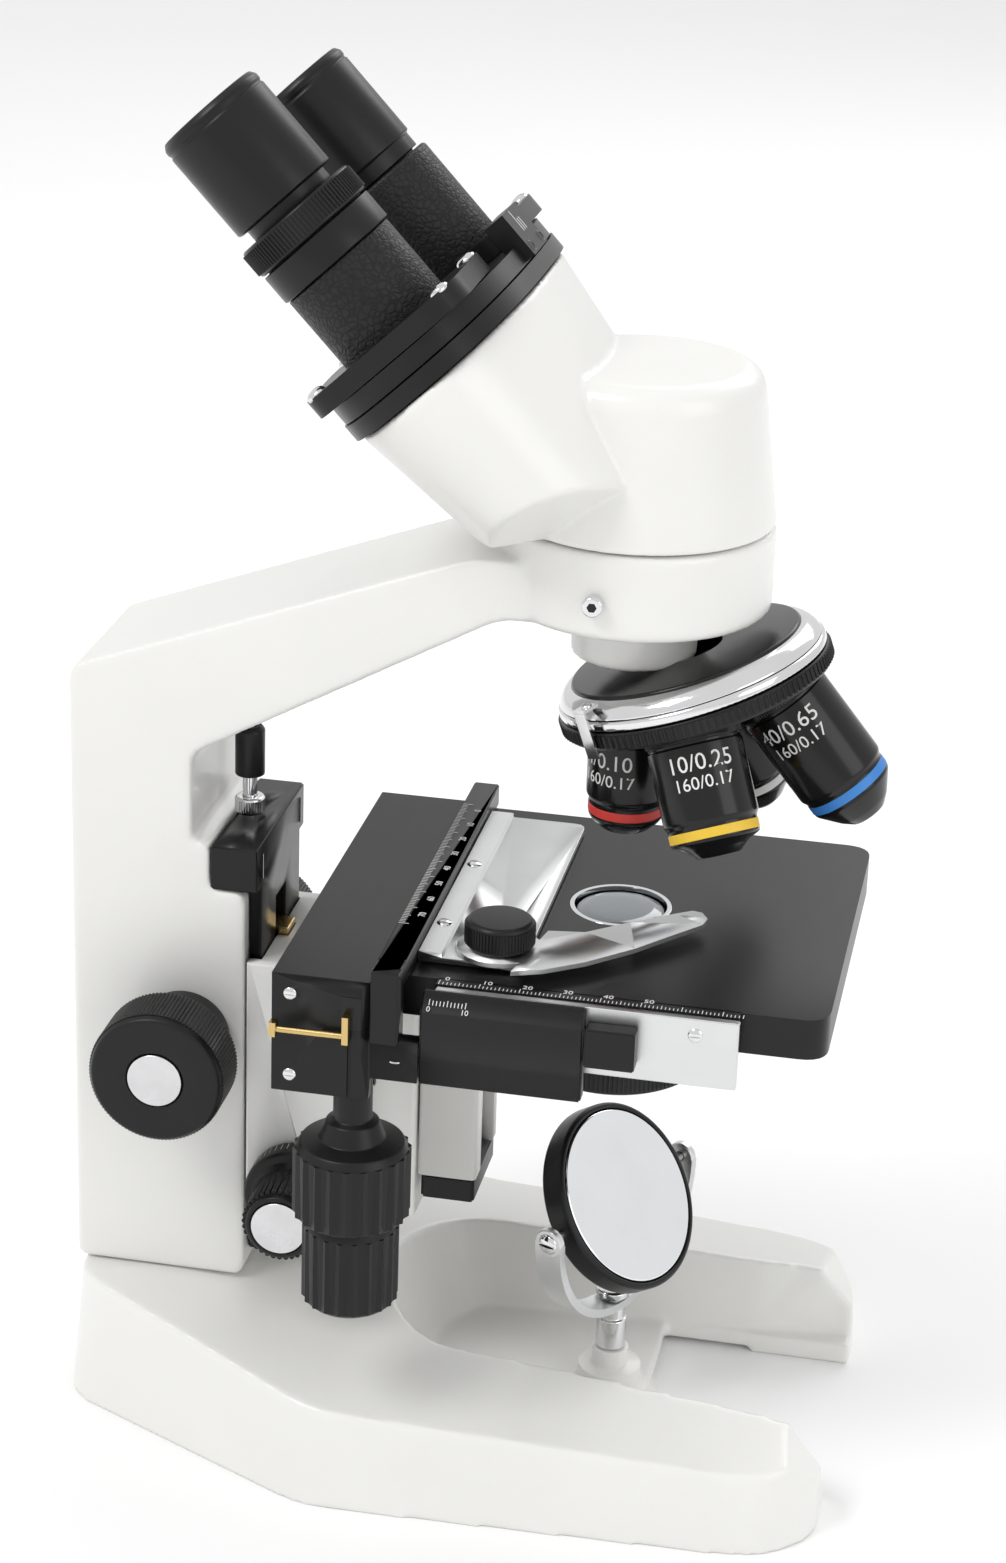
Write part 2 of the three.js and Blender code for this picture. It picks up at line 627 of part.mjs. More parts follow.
function tubeFlange(y) {
  const s = Math.sign(y);
  const g = slab(rounded([[-24, -20], [24, -20], [24, 20], [-24, 20]], 11, 5), -41.1, -36);
  g.translate(0, y + 1.5 * s, 0);
  return g;
}

function tubeRight() {
  const tube = turned([[15.05, -38], [15.05, -16], [15.75, -15.8], [15.75, -8.2], [14.1, -8.2], [14.1, -0.8]], 44);
  return inHead(cut(join(tubeFlange(-TUBE_Y), put(tube, 0, -TUBE_Y, 0)), put(rod(11.85, -60, 5, 32), 0, -TUBE_Y, 0)));
}

function tubeLeft() {
  const tube = turned([[15.05, -38], [15.05, -9], [14.4, -8.6]], 44);
  return inHead(cut(join(tubeFlange(TUBE_Y), put(tube, 0, TUBE_Y, 0)), put(rod(11.85, -60, 5, 32), 0, TUBE_Y, 0)));
}

function eyepiece(y, k, neck) {
  const g = turned([[11.6, k - 24], [11.6, k - neck], [13.2, k - neck], [13.2, k], [14, k + 0.4], [14, k + 25],
    [13.2, k + 27.2], [9.6, k + 27.5], [8.4, k + 25.4]], 44);
  return inHead(put(cut(g, rod(9.8, k - 30, k + 4, 28)), 0, y, 0));
}

function headParts() {
  const knurl = cut(turned([[15.6, -7.8], [16.4, -7], [16.4, -1.3], [15.6, -0.5]], 48), rod(14.3, -20, 5, 44));
  const block = join(box(24.4, 30.6, -8, 8, -46, -33.6), box(17, 30.6, -8, 8, -35.6, -33.6));
  return [
    mesh('prism_housing', prismHousing(), ENAMEL),
    mesh('head_base_plate', headBase(), BLACK),
    mesh('indicator_block', inHead(cut(block, box(20, 28.9, -20, 20, -52, -41))), BLACK),
    mesh('tube_right', tubeRight(), LEATHER),
    mesh('tube_left', tubeLeft(), LEATHER),
    mesh('diopter_ring', inHead(put(knurl, 0, -TUBE_Y, 0)), BLACK),
    mesh('eyepiece_right', eyepiece(-TUBE_Y, 2.5, 0), BLACK),
    mesh('eyepiece_left', eyepiece(TUBE_Y, -4.2, 3.9), BLACK),
  ];
}

// ---- mirror ----
function mirrorParts() {
  const fork = () => {
    const arc = (r) => Array.from({ length: 33 }, (_, n) => {
      const a = (Math.PI * n) / 32;
      return [r * Math.cos(a), MIRROR_O[2] - r * Math.sin(a)];
    });
    const strap = plateY([...arc(32.3), ...arc(29.9).reverse()], -4, 4);
    const lugs = [[29.9, 32.3], [-32.3, -29.9]].map(([a, b]) => alongX(rod(4, a, b, 40), 0, MIRROR_O[2]));
    const bar = join(strap, ...lugs);
    bar.rotateZ(Math.PI / 2);
    const hole = rod(3.2, 20, 40, 28);
    const pins = [-1, 1].map((s) => alongY(rod(1.6, 20, 40, 16), 0, MIRROR_O[2], s));
    return inMirror(cut(bar, hole, ...pins));
  };
  const post = inMirror(turned([[2.5, 6.5], [2.5, 17.2], [4.1, 17.2], [4.1, 26], [3.4, 26.3], [3.4, 29.7], [2.9, 29.7],
    [2.9, 33.1], [4.6, 33.1], [4.6, 35.3]], 28));
  const cell = turned([[22, -4.5], [25.5, -3], [25.5, 3.6], [24.6, 4], [23.7, 4], [23.7, 2.2]], 48);
  const tilt = (g) => {
    const q = new THREE.Quaternion().setFromUnitVectors(new THREE.Vector3(0, 0, 1), new THREE.Vector3(0.756, -0.358, 0.548));
    g.applyQuaternion(q);
    g.translate(...MIRROR_O);
    return g;
  };
  const trunnion = [-1, 1].map((s) => {
    const g = alongY(rod(1.45, 24, 31.5, 16), 0, 0, s);
    g.rotateZ(MIRROR_TURN * DEG);
    g.translate(...MIRROR_O);
    return g;
  });
  return [
    mesh('mirror_fork', fork(), SATIN),
    mesh('mirror_post', post, SATIN),
    mesh('mirror_frame', join(tilt(cell), ...trunnion), BLACK),
    mesh('mirror_glass', tilt(rod(23.3, 2.5, 4.1, 48)), MIRROR),
  ];
}

function buildMicroscope() {
  const group = new THREE.Group();
  group.name = 'microscope';
  group.add(
    ...standParts(),
    ...coarseParts(),
    mesh('stage_carrier', stageCarrier(), ENAMEL),
    mesh('focus_rack', focusRack(), BRASS),
    ...fineParts(),
    ...stageParts(),
    mesh('iris_lever', irisLever(), SATIN),
    ...carriageParts(),
    mesh('ruler_bar', rulerBar(), BLACK),
    mesh('holder_plate', holderPlate(), SATIN),
    mesh('slide_finger', slideFinger(), SATIN),
    mesh('finger_knob', fingerKnob(), BLACK),
    ...travelKnobs(),
    ...nosepieceParts(),
    ...headParts(),
    ...mirrorParts(),
  );
  return group;
}

export default buildMicroscope();
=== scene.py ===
"""Binocular microscope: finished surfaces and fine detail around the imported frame.

Sizes in the classes are millimetres in the row frame (+Z up, the optical axis at
X = 0, Y = 0); every mesh is baked to metres with its object left at the origin.
"""

import logging
import math
from dataclasses import dataclass, field
from enum import Enum
from typing import Any, Callable, Iterable, Sequence

import bmesh
import bpy
from mathutils import Matrix, Vector


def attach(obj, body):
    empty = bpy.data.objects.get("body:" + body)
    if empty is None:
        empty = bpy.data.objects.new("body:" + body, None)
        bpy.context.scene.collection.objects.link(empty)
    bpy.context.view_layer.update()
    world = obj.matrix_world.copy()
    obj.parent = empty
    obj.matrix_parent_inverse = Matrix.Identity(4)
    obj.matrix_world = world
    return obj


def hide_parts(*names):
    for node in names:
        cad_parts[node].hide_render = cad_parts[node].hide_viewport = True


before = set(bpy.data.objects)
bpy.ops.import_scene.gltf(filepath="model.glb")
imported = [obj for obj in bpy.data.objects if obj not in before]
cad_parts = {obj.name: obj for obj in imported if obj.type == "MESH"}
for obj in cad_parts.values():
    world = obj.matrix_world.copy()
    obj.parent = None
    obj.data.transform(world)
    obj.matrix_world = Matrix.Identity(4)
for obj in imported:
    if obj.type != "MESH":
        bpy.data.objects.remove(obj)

Point = tuple[float, float]
Spot = tuple[float, float, float]

LOG = logging.getLogger("microscope")
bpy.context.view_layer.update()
MM = 0.001
SMOOTH_ANGLE = math.radians(32)


class Side(Enum):
    """The user's right (-Y) and left (+Y) side of the stand."""

    RIGHT = -1
    LEFT = 1

    @property
    def word(self) -> str:
        """Name ending used by the frame's nodes."""
        return self.name.lower()


# ---------------------------------------------------------------- shader maths


class Sock:
    """A node output that can be used in arithmetic."""

    def __init__(self, tree: bpy.types.NodeTree, out: bpy.types.NodeSocket) -> None:
        """Keeps the tree and the output."""
        self.tree = tree
        self.out = out

    def _math(self, operation: str, a: Any, b: Any) -> "Sock":
        """Adds a Math node.

        Args:
            operation: The Math node's operation.
            a: First value or Sock.
            b: Second value or Sock.

        Returns:
            The node's output.
        """
        node = self.tree.nodes.new("ShaderNodeMath")
        node.operation = operation
        for socket, value in zip(node.inputs, (a, b)):
            if isinstance(value, Sock):
                self.tree.links.new(value.out, socket)
            else:
                socket.default_value = value
        return Sock(self.tree, node.outputs[0])

    def __add__(self, other: Any) -> "Sock":
        """self + other."""
        return self._math("ADD", self, other)

    def __radd__(self, other: Any) -> "Sock":
        """other + self."""
        return self._math("ADD", other, self)

    def __sub__(self, other: Any) -> "Sock":
        """self - other."""
        return self._math("SUBTRACT", self, other)

    def __rsub__(self, other: Any) -> "Sock":
        """other - self."""
        return self._math("SUBTRACT", other, self)

    def __mul__(self, other: Any) -> "Sock":
        """self * other."""
        return self._math("MULTIPLY", self, other)

    def __rmul__(self, other: Any) -> "Sock":
        """other * self."""
        return self._math("MULTIPLY", other, self)

    def sine(self) -> "Sock":
        """Sine of self."""
        return self._math("SINE", self, 0.0)

    def __pow__(self, other: Any) -> "Sock":
        """self ** other."""
        return self._math("POWER", self, other)


class Surface:
    """One Principled material being put together."""

    def __init__(self, name: str) -> None:
        """Starts the material.

        Args:
            name: Name of the new material.
        """
        self.material = bpy.data.materials.new(name)
        self.material.use_nodes = True
        self.tree = self.material.node_tree
        self.shader = self.tree.nodes["Principled BSDF"]

    def node(self, kind: str, settings: dict[str, Any] | None = None,
             values: dict[str | int, Any] | None = None) -> bpy.types.Node:
        """Adds any node.

        Args:
            kind: The node's type name.
            settings: Properties set first; "stops" fills a colour ramp.
            values: Values or Socks for its sockets.

        Returns:
            The node.
        """
        made = self.tree.nodes.new(kind)
        for key, value in (settings or {}).items():
            if key == "stops":
                ramp = made.color_ramp
                for i, (place, colour) in enumerate(value):
                    stop = ramp.elements[i] if i < len(ramp.elements) else ramp.elements.new(place)
                    stop.position = place
                    stop.color = (*colour, 1.0)
            else:
                setattr(made, key, value)
        for key, value in (values or {}).items():
            if isinstance(value, Sock):
                self.tree.links.new(value.out, made.inputs[key])
            else:
                made.inputs[key].default_value = value
        return made

    def sock(self, node: bpy.types.Node, out: str | int = 0) -> Sock:
        """A node's output as a Sock."""
        return Sock(self.tree, node.outputs[out])

    def place(self, scale: Spot = (1, 1, 1), turn: Spot = (0, 0, 0), shift: Spot = (0, 0, 0)) -> Sock:
        """Object coordinates through a Mapping node.

        Args:
            scale: Scale along each axis.
            turn: Rotation in radians.
            shift: Location added last.

        Returns:
            The mapped vector.
        """
        coords = self.sock(self.node("ShaderNodeTexCoord"), "Object")
        mapping = self.node("ShaderNodeMapping", None,
                            {"Vector": coords, "Scale": scale, "Rotation": turn, "Location": shift})
        return self.sock(mapping)

    def noise(self, vector: Sock, scale: float, detail: float = 3.0, rough: float = 0.55) -> Sock:
        """Noise factor on a vector."""
        made = self.node("ShaderNodeTexNoise", None,
                         {"Vector": vector, "Scale": scale, "Detail": detail, "Roughness": rough})
        return self.sock(made, 0)

    def bump(self, height: Sock, strength: float, distance: float, below: Sock | None = None) -> Sock:
        """A Bump node on a height.

        Args:
            height: The height factor.
            strength: Share of the bump.
            distance: Depth in metres.
            below: Normal of an earlier Bump node.

        Returns:
            The new normal.
        """
        values: dict[str | int, Any] = {"Height": height, "Strength": strength, "Distance": distance}
        if below is not None:
            values["Normal"] = below
        return self.sock(self.node("ShaderNodeBump", None, values))

    def mix(self, factor: Sock, a: Spot, b: Spot) -> Sock:
        """Mixes two colours by a factor."""
        made = self.node("ShaderNodeMix", {"data_type": "RGBA"}, {0: factor, 6: (*a, 1.0), 7: (*b, 1.0)})
        return self.sock(made, 2)

    def finish(self, colour: Any = None, rough: Any = None, metal: float = 0.0,
               normal: Sock | None = None, coat: float = 0.0, **fixed: Any) -> bpy.types.Material:
        """Connects the shader.

        Args:
            colour: Base colour, fixed or a Sock.
            rough: Roughness, fixed or a Sock.
            metal: Metallic.
            normal: Normal from a Bump node.
            coat: Coat weight.
            fixed: Other shader sockets by name, with _ for a space.

        Returns:
            The finished material.
        """
        sockets = self.shader.inputs
        for key, value in (("Base Color", colour), ("Roughness", rough), ("Normal", normal)):
            if isinstance(value, Sock):
                self.tree.links.new(value.out, sockets[key])
            elif value is not None:
                sockets[key].default_value = (*value, 1.0) if key == "Base Color" else value
        sockets["Metallic"].default_value = metal
        sockets["Coat Weight"].default_value = coat
        sockets["Coat Roughness"].default_value = 0.12
        for key, value in fixed.items():
            sockets[key.replace("_", " ")].default_value = value
        return self.material


# ---------------------------------------------------------------- finishes


@dataclass(frozen=True)
class Enamel:
    """White stoved enamel with a fine orange-peel skin."""

    name: str = "white_enamel"
    slot: str = "enamel"
    pale: Spot = (0.80, 0.795, 0.775)
    shade: Spot = (0.735, 0.73, 0.705)
    peel_scale: float = 620.0
    roughness: float = 0.33

    def build(self) -> bpy.types.Material:
        """Builds the material."""
        s = Surface(self.name)
        where = s.place()
        cloud = s.noise(where, 22.0, 4.0)
        peel = s.noise(where, self.peel_scale, 2.0, 0.5)
        speck = s.noise(where, self.peel_scale * 4, 2.0, 0.5)
        normal = s.bump(speck, 0.05, 0.00006, s.bump(peel, 0.16, 0.00022))
        return s.finish(s.mix(cloud, self.shade, self.pale), self.roughness - 0.06 + cloud * 0.14, 0.0,
                        normal, 0.25)


@dataclass(frozen=True)
class BlackCoat:
    """Black satin finish: anodised metal or moulded plastic."""

    name: str
    slot: str
    tone: float = 0.008
    roughness: float = 0.32
    grain_scale: float = 1900.0
    grain: float = 0.16
    coat: float = 0.02

    def build(self) -> bpy.types.Material:
        """Builds the material."""
        s = Surface(self.name)
        where = s.place()
        cloud = s.noise(where, 35.0, 5.0)
        grain = s.noise(where, self.grain_scale, 2.0)
        wipe = s.noise(s.place((60, 9, 30)), 6.0, 4.0)
        low = tuple(self.tone * f for f in (0.75, 0.76, 0.8))
        high = tuple(self.tone * f for f in (1.3, 1.3, 1.38))
        rough = self.roughness - 0.07 + cloud * 0.09 + wipe * 0.06
        return s.finish(s.mix(cloud, low, high), rough, 0.0, s.bump(grain, self.grain, 0.00009), self.coat,
                        Specular_IOR_Level=0.28)


@dataclass(frozen=True)
class LeatherGrain:
    """Black lacquer pressed with a leather grain."""

    name: str = "leather_grain_black"
    slot: str = "leather_black"
    cell_scale: float = 620.0
    roughness: float = 0.4

    def build(self) -> bpy.types.Material:
        """Builds the material."""
        s = Surface(self.name)
        where = s.place()
        drift = s.node("ShaderNodeTexNoise", None, {"Vector": where, "Scale": 260.0, "Detail": 2.0})
        bent = s.node("ShaderNodeVectorMath", {"operation": "MULTIPLY_ADD"},
                      {0: s.sock(drift, 1), 1: (0.0022, 0.0022, 0.0022), 2: where})
        cells = s.node("ShaderNodeTexVoronoi", {"feature": "DISTANCE_TO_EDGE"},
                       {"Vector": s.sock(bent), "Scale": self.cell_scale})
        pillow = s.node("ShaderNodeValToRGB", {"stops": [(0.0, (0, 0, 0)), (0.22, (1, 1, 1))]},
                        {0: s.sock(cells)})
        height = s.sock(pillow)
        fine = s.noise(where, 1700.0, 2.0)
        normal = s.bump(fine, 0.1, 0.00008, s.bump(height, 0.4, 0.00024))
        rough = self.roughness + 0.14 - height * 0.14
        # The base colour is darker in the grain creases than on the raised cells: painted crease shade.
        return s.finish(s.mix(height, (0.004, 0.004, 0.005), (0.012, 0.012, 0.013)), rough, 0.0, normal, 0.03,
                        Specular_IOR_Level=0.3)


@dataclass(frozen=True)
class Metal:
    """Bare or plated metal, with brushing along one direction."""

    name: str
    slot: str
    colour: Spot = (0.72, 0.72, 0.73)
    roughness: float = 0.26
    stretch: Spot = (40.0, 900.0, 900.0)
    scratch: float = 0.12

    def build(self) -> bpy.types.Material:
        """Builds the material."""
        s = Surface(self.name)
        lines = s.noise(s.place(self.stretch), 1.0, 4.0, 0.6)
        cloud = s.noise(s.place(), 45.0, 3.0)
        dark = tuple(c * 0.82 for c in self.colour)
        rough = self.roughness - 0.05 + lines * 0.1
        return s.finish(s.mix(cloud, dark, self.colour), rough, 1.0, s.bump(lines, self.scratch, 0.00004))


@dataclass(frozen=True)
class TurnedFace:
    """Metal face with concentric turning marks about an axle along Y."""

    name: str
    slot: str
    axle: Point
    colour: Spot = (0.74, 0.74, 0.75)
    pitch: float = 5200.0

    def build(self) -> bpy.types.Material:
        """Builds the material."""
        s = Surface(self.name)
        away = s.place((1, 0, 1), (0, 0, 0), (-self.axle[0] * MM, 0, -self.axle[1] * MM))
        reach = s.sock(s.node("ShaderNodeVectorMath", {"operation": "LENGTH"}, {0: away}), 1)
        rings = (reach * self.pitch).sine()
        cloud = s.noise(s.place(), 180.0, 3.0)
        return s.finish(s.mix(cloud, (0.58, 0.58, 0.59), self.colour), 0.2 + cloud * 0.12, 1.0,
                        s.bump(rings, 0.35, 0.00003))


@dataclass(frozen=True)
class Paint:
    """A painted band or filled engraving."""

    name: str
    slot: str
    colour: Spot
    roughness: float = 0.42

    def build(self) -> bpy.types.Material:
        """Builds the material."""
        s = Surface(self.name)
        cloud = s.noise(s.place(), 240.0, 3.0)
        worn = tuple(c * 0.82 for c in self.colour)
        return s.finish(s.mix(cloud, worn, self.colour), self.roughness + cloud * 0.1, 0.0,
                        s.bump(cloud, 0.08, 0.00005))


@dataclass(frozen=True)
class Lens:
    """Coated lens seen over a dark barrel."""

    name: str = "coated_lens"
    slot: str = "optical_glass"

    def build(self) -> bpy.types.Material:
        """Builds the material."""
        s = Surface(self.name)
        cloud = s.noise(s.place(), 60.0, 2.0)
        return s.finish(s.mix(cloud, (0.10, 0.12, 0.13), (0.16, 0.18, 0.2)), 0.03 + cloud * 0.03, 0.0, None,
                        1.0,
                        IOR=1.6)


@dataclass(frozen=True)
class Silvering:
    """Front-silvered mirror glass."""

    name: str = "mirror_silvering"
    slot: str = "mirror"

    def build(self) -> bpy.types.Material:
        """Builds the material."""
        s = Surface(self.name)
        haze = s.noise(s.place(), 70.0, 4.0)
        return s.finish(s.mix(haze, (0.80, 0.82, 0.84), (0.9, 0.91, 0.92)), 0.02 + haze * 0.06, 1.0)


ENAMEL = Enamel()
SATIN_BLACK = BlackCoat("satin_black_metal", "black_metal")
BLACK_PLASTIC = BlackCoat("black_plastic", "black_plastic", 0.008, 0.36, 1300.0, 0.22, 0.0)
GLOSS_BLACK = BlackCoat("gloss_black_metal", "black_metal", 0.006, 0.2, 2600.0, 0.05, 0.12)
LEATHER = LeatherGrain()
CHROME = Metal("nickel_chrome", "chrome", (0.82, 0.82, 0.83), 0.1, (30.0, 400.0, 400.0), 0.03)
STEEL = Metal("brushed_steel", "satin_steel", (0.62, 0.62, 0.63), 0.28)
ALUMINIUM = Metal("satin_aluminium", "satin_aluminium", (0.76, 0.765, 0.77), 0.34, (35.0, 1400.0, 1400.0),
                  0.18)
BRASS = Metal("bright_brass", "brass", (0.72, 0.52, 0.22), 0.22)
INK = Paint("white_ink", "black_metal", (0.80, 0.80, 0.78), 0.5)
RED = Paint("red_band", "black_metal", (0.62, 0.035, 0.025))
YELLOW = Paint("yellow_band", "black_metal", (0.80, 0.52, 0.035))
BLUE = Paint("blue_band", "black_metal", (0.035, 0.22, 0.62))
PALE = Paint("pale_band", "black_metal", (0.72, 0.72, 0.70))
LENS = Lens()
SILVERING = Silvering()

_made: dict[str, bpy.types.Material] = {}


def material(finish: Any) -> bpy.types.Material:
    """The one material of a finish, built at first use."""
    if finish.name not in _made:
        _made[finish.name] = finish.build()
    return _made[finish.name]


# ---------------------------------------------------------------- mesh shop


def shift(x: float = 0.0, y: float = 0.0, z: float = 0.0) -> Matrix:
    """A move in millimetres."""
    return Matrix.Translation((x, y, z))


def turn(axis: str, degrees: float) -> Matrix:
    """A turn about one axis."""
    return Matrix.Rotation(math.radians(degrees), 4, axis)


HEAD = shift(-81, 0, 331) @ turn("Y", -43.5)
TURRET = shift(13.4, 0, 218.4) @ turn("Y", -19.8) @ turn("X", 180)
MIRROR_PIVOT = Vector((3.0, 0.8, 62.3))
YOKE = shift(MIRROR_PIVOT.x, MIRROR_PIVOT.y) @ turn("Z", -25.3)
GLASS_NORMAL = Vector((0.756, -0.358, 0.548))
GLASS = shift(*MIRROR_PIVOT) @ Vector((0, 0, 1)).rotation_difference(GLASS_NORMAL).to_matrix().to_4x4()


def seat(phi: float) -> Matrix:
    """Objective seat at a turn of the turret, local z down the objective."""
    return TURRET @ turn("Z", phi) @ shift(14.2) @ turn("Y", 19.8)


def along_y(x: float, z: float, side: int) -> Matrix:
    """Local z laid along +Y (side 1) or -Y (side -1) at an axle."""
    return shift(x, 0, z) @ turn("X", -90 * side)


def along_x(y: float, z: float) -> Matrix:
    """Local z laid along +X."""
    return shift(0, y, z) @ turn("Y", 90)


def eased(points: Sequence[Point], radius: float, steps: int = 3, closed: bool = False) -> list[Point]:
    """Rounds the corners of an outline.

    Args:
        points: Corner points.
        radius: Wanted setback, kept under 45% of each side.
        steps: Segments per corner.
        closed: Whether the last point joins the first.

    Returns:
        The rounded outline.
    """
    out: list[Point] = []
    n = len(points)
    for i, here in enumerate(points):
        if not closed and i in (0, n - 1):
            out.append(tuple(here))
            continue
        p = Vector(here)
        a = Vector(points[i - 1]) - p
        b = Vector(points[(i + 1) % n]) - p
        back = min(radius, a.length * 0.45, b.length * 0.45)
        if back < 1e-4 or a.angle(b, 0.0) > math.radians(172):
            out.append(tuple(here))
            continue
        start = p + a.normalized() * back
        end = p + b.normalized() * back
        for k in range(steps + 1):
            t = k / steps
            q = start * (1 - t) ** 2 + p * 2 * t * (1 - t) + end * t * t
            out.append((q.x, q.y))
    return out


def new_piece(name: str, build: Callable[[bmesh.types.BMesh], None], place: Matrix) -> bpy.types.Object:
    """Makes an object from a bmesh builder and bakes its place.

    Args:
        name: The piece's name.
        build: Fills the bmesh in local millimetres.
        place: Local to row frame, in millimetres.

    Returns:
        The object, at the origin, in metres.
    """
    bm = bmesh.new()
    build(bm)
    bm.transform(Matrix.Scale(MM, 4) @ place)
    bmesh.ops.remove_doubles(bm, verts=bm.verts, dist=1e-7)
    bmesh.ops.recalc_face_normals(bm, faces=bm.faces)
    mesh = bpy.data.meshes.new(name)
    bm.to_mesh(mesh)
    bm.free()
    obj = bpy.data.objects.new(name, mesh)
    bpy.context.scene.collection.objects.link(obj)
    shade(obj)
    return obj


def shade(obj: bpy.types.Object, angle: float = SMOOTH_ANGLE) -> None:
    """Smooth shading with sharp edges kept by angle."""
    obj.data.shade_smooth()
    obj.data.set_sharp_from_angle(angle=angle)


def lathe(profile: Sequence[Point], segments: int = 112, ease: float = 0.35,
          bore: float = 0.0) -> Callable[[bmesh.types.BMesh], None]:
    """Builder of a solid of revolution about local z.

    Args:
        profile: Radius and height pairs from bottom to top.
        segments: Facets round the axis.
        ease: Corner rounding.
        bore: Radius of a straight hole through it, or 0.

    Returns:
        The builder.
    """

    def build(bm: bmesh.types.BMesh) -> None:
        """Adds the turned surface."""
        inner = bore if bore > 0 else 0.0
        points = [(inner, profile[0][1]), *profile, (inner, profile[-1][1])]
        points = [p for i,
                  p in enumerate(points) if i == 0 or (Vector(p) - Vector(points[i - 1])).length > 1e-5]
        line = eased(points, ease)
        rings = []
        for r, z in line:
            if r < 1e-6:
                rings.append([bm.verts.new((0, 0, z))])
                continue
            rings.append([bm.verts.new((r * math.cos(2 * math.pi * i / segments),
                                        r * math.sin(2 * math.pi * i / segments), z))
                                        for i in range(segments)])
        if inner:
            rings.append(rings[0])
        for low, high in zip(rings, rings[1:]):
            for i in range(segments):
                j = (i + 1) % segments
                corners = [low[i % len(low)], low[j % len(low)], high[j % len(high)], high[i % len(high)]]
                unique = list(dict.fromkeys(corners))
                if len(unique) > 2:
                    bm.faces.new(unique)

    return build


def prism(outline: Sequence[Point], z0: float, z1: float, upper: Sequence[Point] | None = None,
          bevel: float = 0.0) -> Callable[[bmesh.types.BMesh], None]:
    """Builder of a straight or tapered prism.

    Args:
        outline: Plan at z0.
        z0: Lower height.
        z1: Upper height.
        upper: Plan at z1 when it differs.
        bevel: Edge chamfer.

    Returns:
        The builder.
    """

    def build(bm: bmesh.types.BMesh) -> None:
        """Adds the prism."""
        low = [bm.verts.new((x, y, z0)) for x, y in outline]
        high = [bm.verts.new((x, y, z1)) for x, y in (upper or outline)]
        n = len(low)
        made = [bm.faces.new(low[::-1]), bm.faces.new(high)]
        made += [bm.faces.new((low[i], low[(i + 1) % n], high[(i + 1) % n], high[i])) for i in range(n)]
        if bevel:
            rim = [e for e in bm.edges if e.is_valid and len(e.link_faces) == 2
                   and e.calc_face_angle(0.0) > math.radians(28)
                   and any(f in made for f in e.link_faces)]
            bmesh.ops.bevel(bm, geom=rim, offset=bevel, segments=3, affect="EDGES", clamp_overlap=True)

    return build


def block(x0: float, x1: float, y0: float, y1: float, z0: float, z1: float,
          bevel: float = 0.0) -> Callable[[bmesh.types.BMesh], None]:
    """Builder of a box with chamfered edges."""
    return prism([(x0, y0), (x1, y0), (x1, y1), (x0, y1)], z0, z1, None, bevel)


def cast(name: str, adds: Iterable[tuple[Callable, Matrix]], cuts: Iterable[tuple[Callable, Matrix]],
         voxel: float, rounds: int) -> bpy.types.Object:
    """A casting: solids fused, pockets taken out, then softened edges.

    Args:
        name: The piece's name.
        adds: Builders and places of what is fused.
        cuts: Builders and places of what is taken out.
        voxel: Mesh size in millimetres.
        rounds: Smoothing rounds, which set the edge radius.

    Returns:
        The casting.
    """
    bodies = [new_piece(f"{name}_add{i}", build, place) for i, (build, place) in enumerate(adds)]
    body = bodies[0]
    with bpy.context.temp_override(active_object=body, selected_editable_objects=bodies):
        bpy.ops.object.join()
    remesh = body.modifiers.new("skin", "REMESH")
    remesh.mode = "VOXEL"
    remesh.voxel_size = voxel * MM
    apply_all(body)
    tools = [new_piece(f"{name}_cut{i}", build, place) for i, (build, place) in enumerate(cuts)]
    for tool in tools:
        cutter = body.modifiers.new("cut", "BOOLEAN")
        cutter.operation = "DIFFERENCE"
        cutter.solver = "EXACT"
        cutter.object = tool
    if tools:
        apply_all(body)
    for tool in tools:
        bpy.data.objects.remove(tool)
    again = body.modifiers.new("skin", "REMESH")
    again.mode = "VOXEL"
    again.voxel_size = voxel * MM
    soft = body.modifiers.new("soft", "SMOOTH")
    soft.factor = 0.5
    soft.iterations = rounds
    thin = body.modifiers.new("thin", "DECIMATE")
    thin.ratio = 0.5
    apply_all(body)
    body.name = name
    body.data.shade_smooth()
    return body


def apply_all(obj: bpy.types.Object) -> None:
    """Turns an object's modifiers into a plain mesh."""
    ready = obj.evaluated_get(bpy.context.evaluated_depsgraph_get())
    mesh = bpy.data.meshes.new_from_object(ready)
    obj.modifiers.clear()
    old = obj.data
    obj.data = mesh
    mesh.name = obj.name
    bpy.data.meshes.remove(old)


def refined(node: str, name: str, bevel: float) -> bpy.types.Object:
    """A frame node's own solid with its edges broken.

    Args:
        node: The frame node.
        name: The new piece's name.
        bevel: Edge radius in millimetres.

    Returns:
        The new piece.
    """
    bm = bmesh.new()
    bm.from_mesh(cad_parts[node].data)
    bmesh.ops.remove_doubles(bm, verts=bm.verts, dist=2e-6)
    bmesh.ops.dissolve_limit(bm, angle_limit=math.radians(1.5), verts=bm.verts, edges=bm.edges)
    edges = [e for e in bm.edges if len(e.link_faces) == 2 and e.calc_face_angle(0.0) > math.radians(40)]
    bmesh.ops.bevel(bm, geom=edges, offset=bevel * MM, segments=2, affect="EDGES", clamp_overlap=True)
    bmesh.ops.triangulate(bm, faces=[f for f in bm.faces if len(f.verts) > 4])
    mesh = bpy.data.meshes.new(name)
    bm.to_mesh(mesh)
    bm.free()
    obj = bpy.data.objects.new(name, mesh)
    bpy.context.scene.collection.objects.link(obj)
    shade(obj)
    return obj


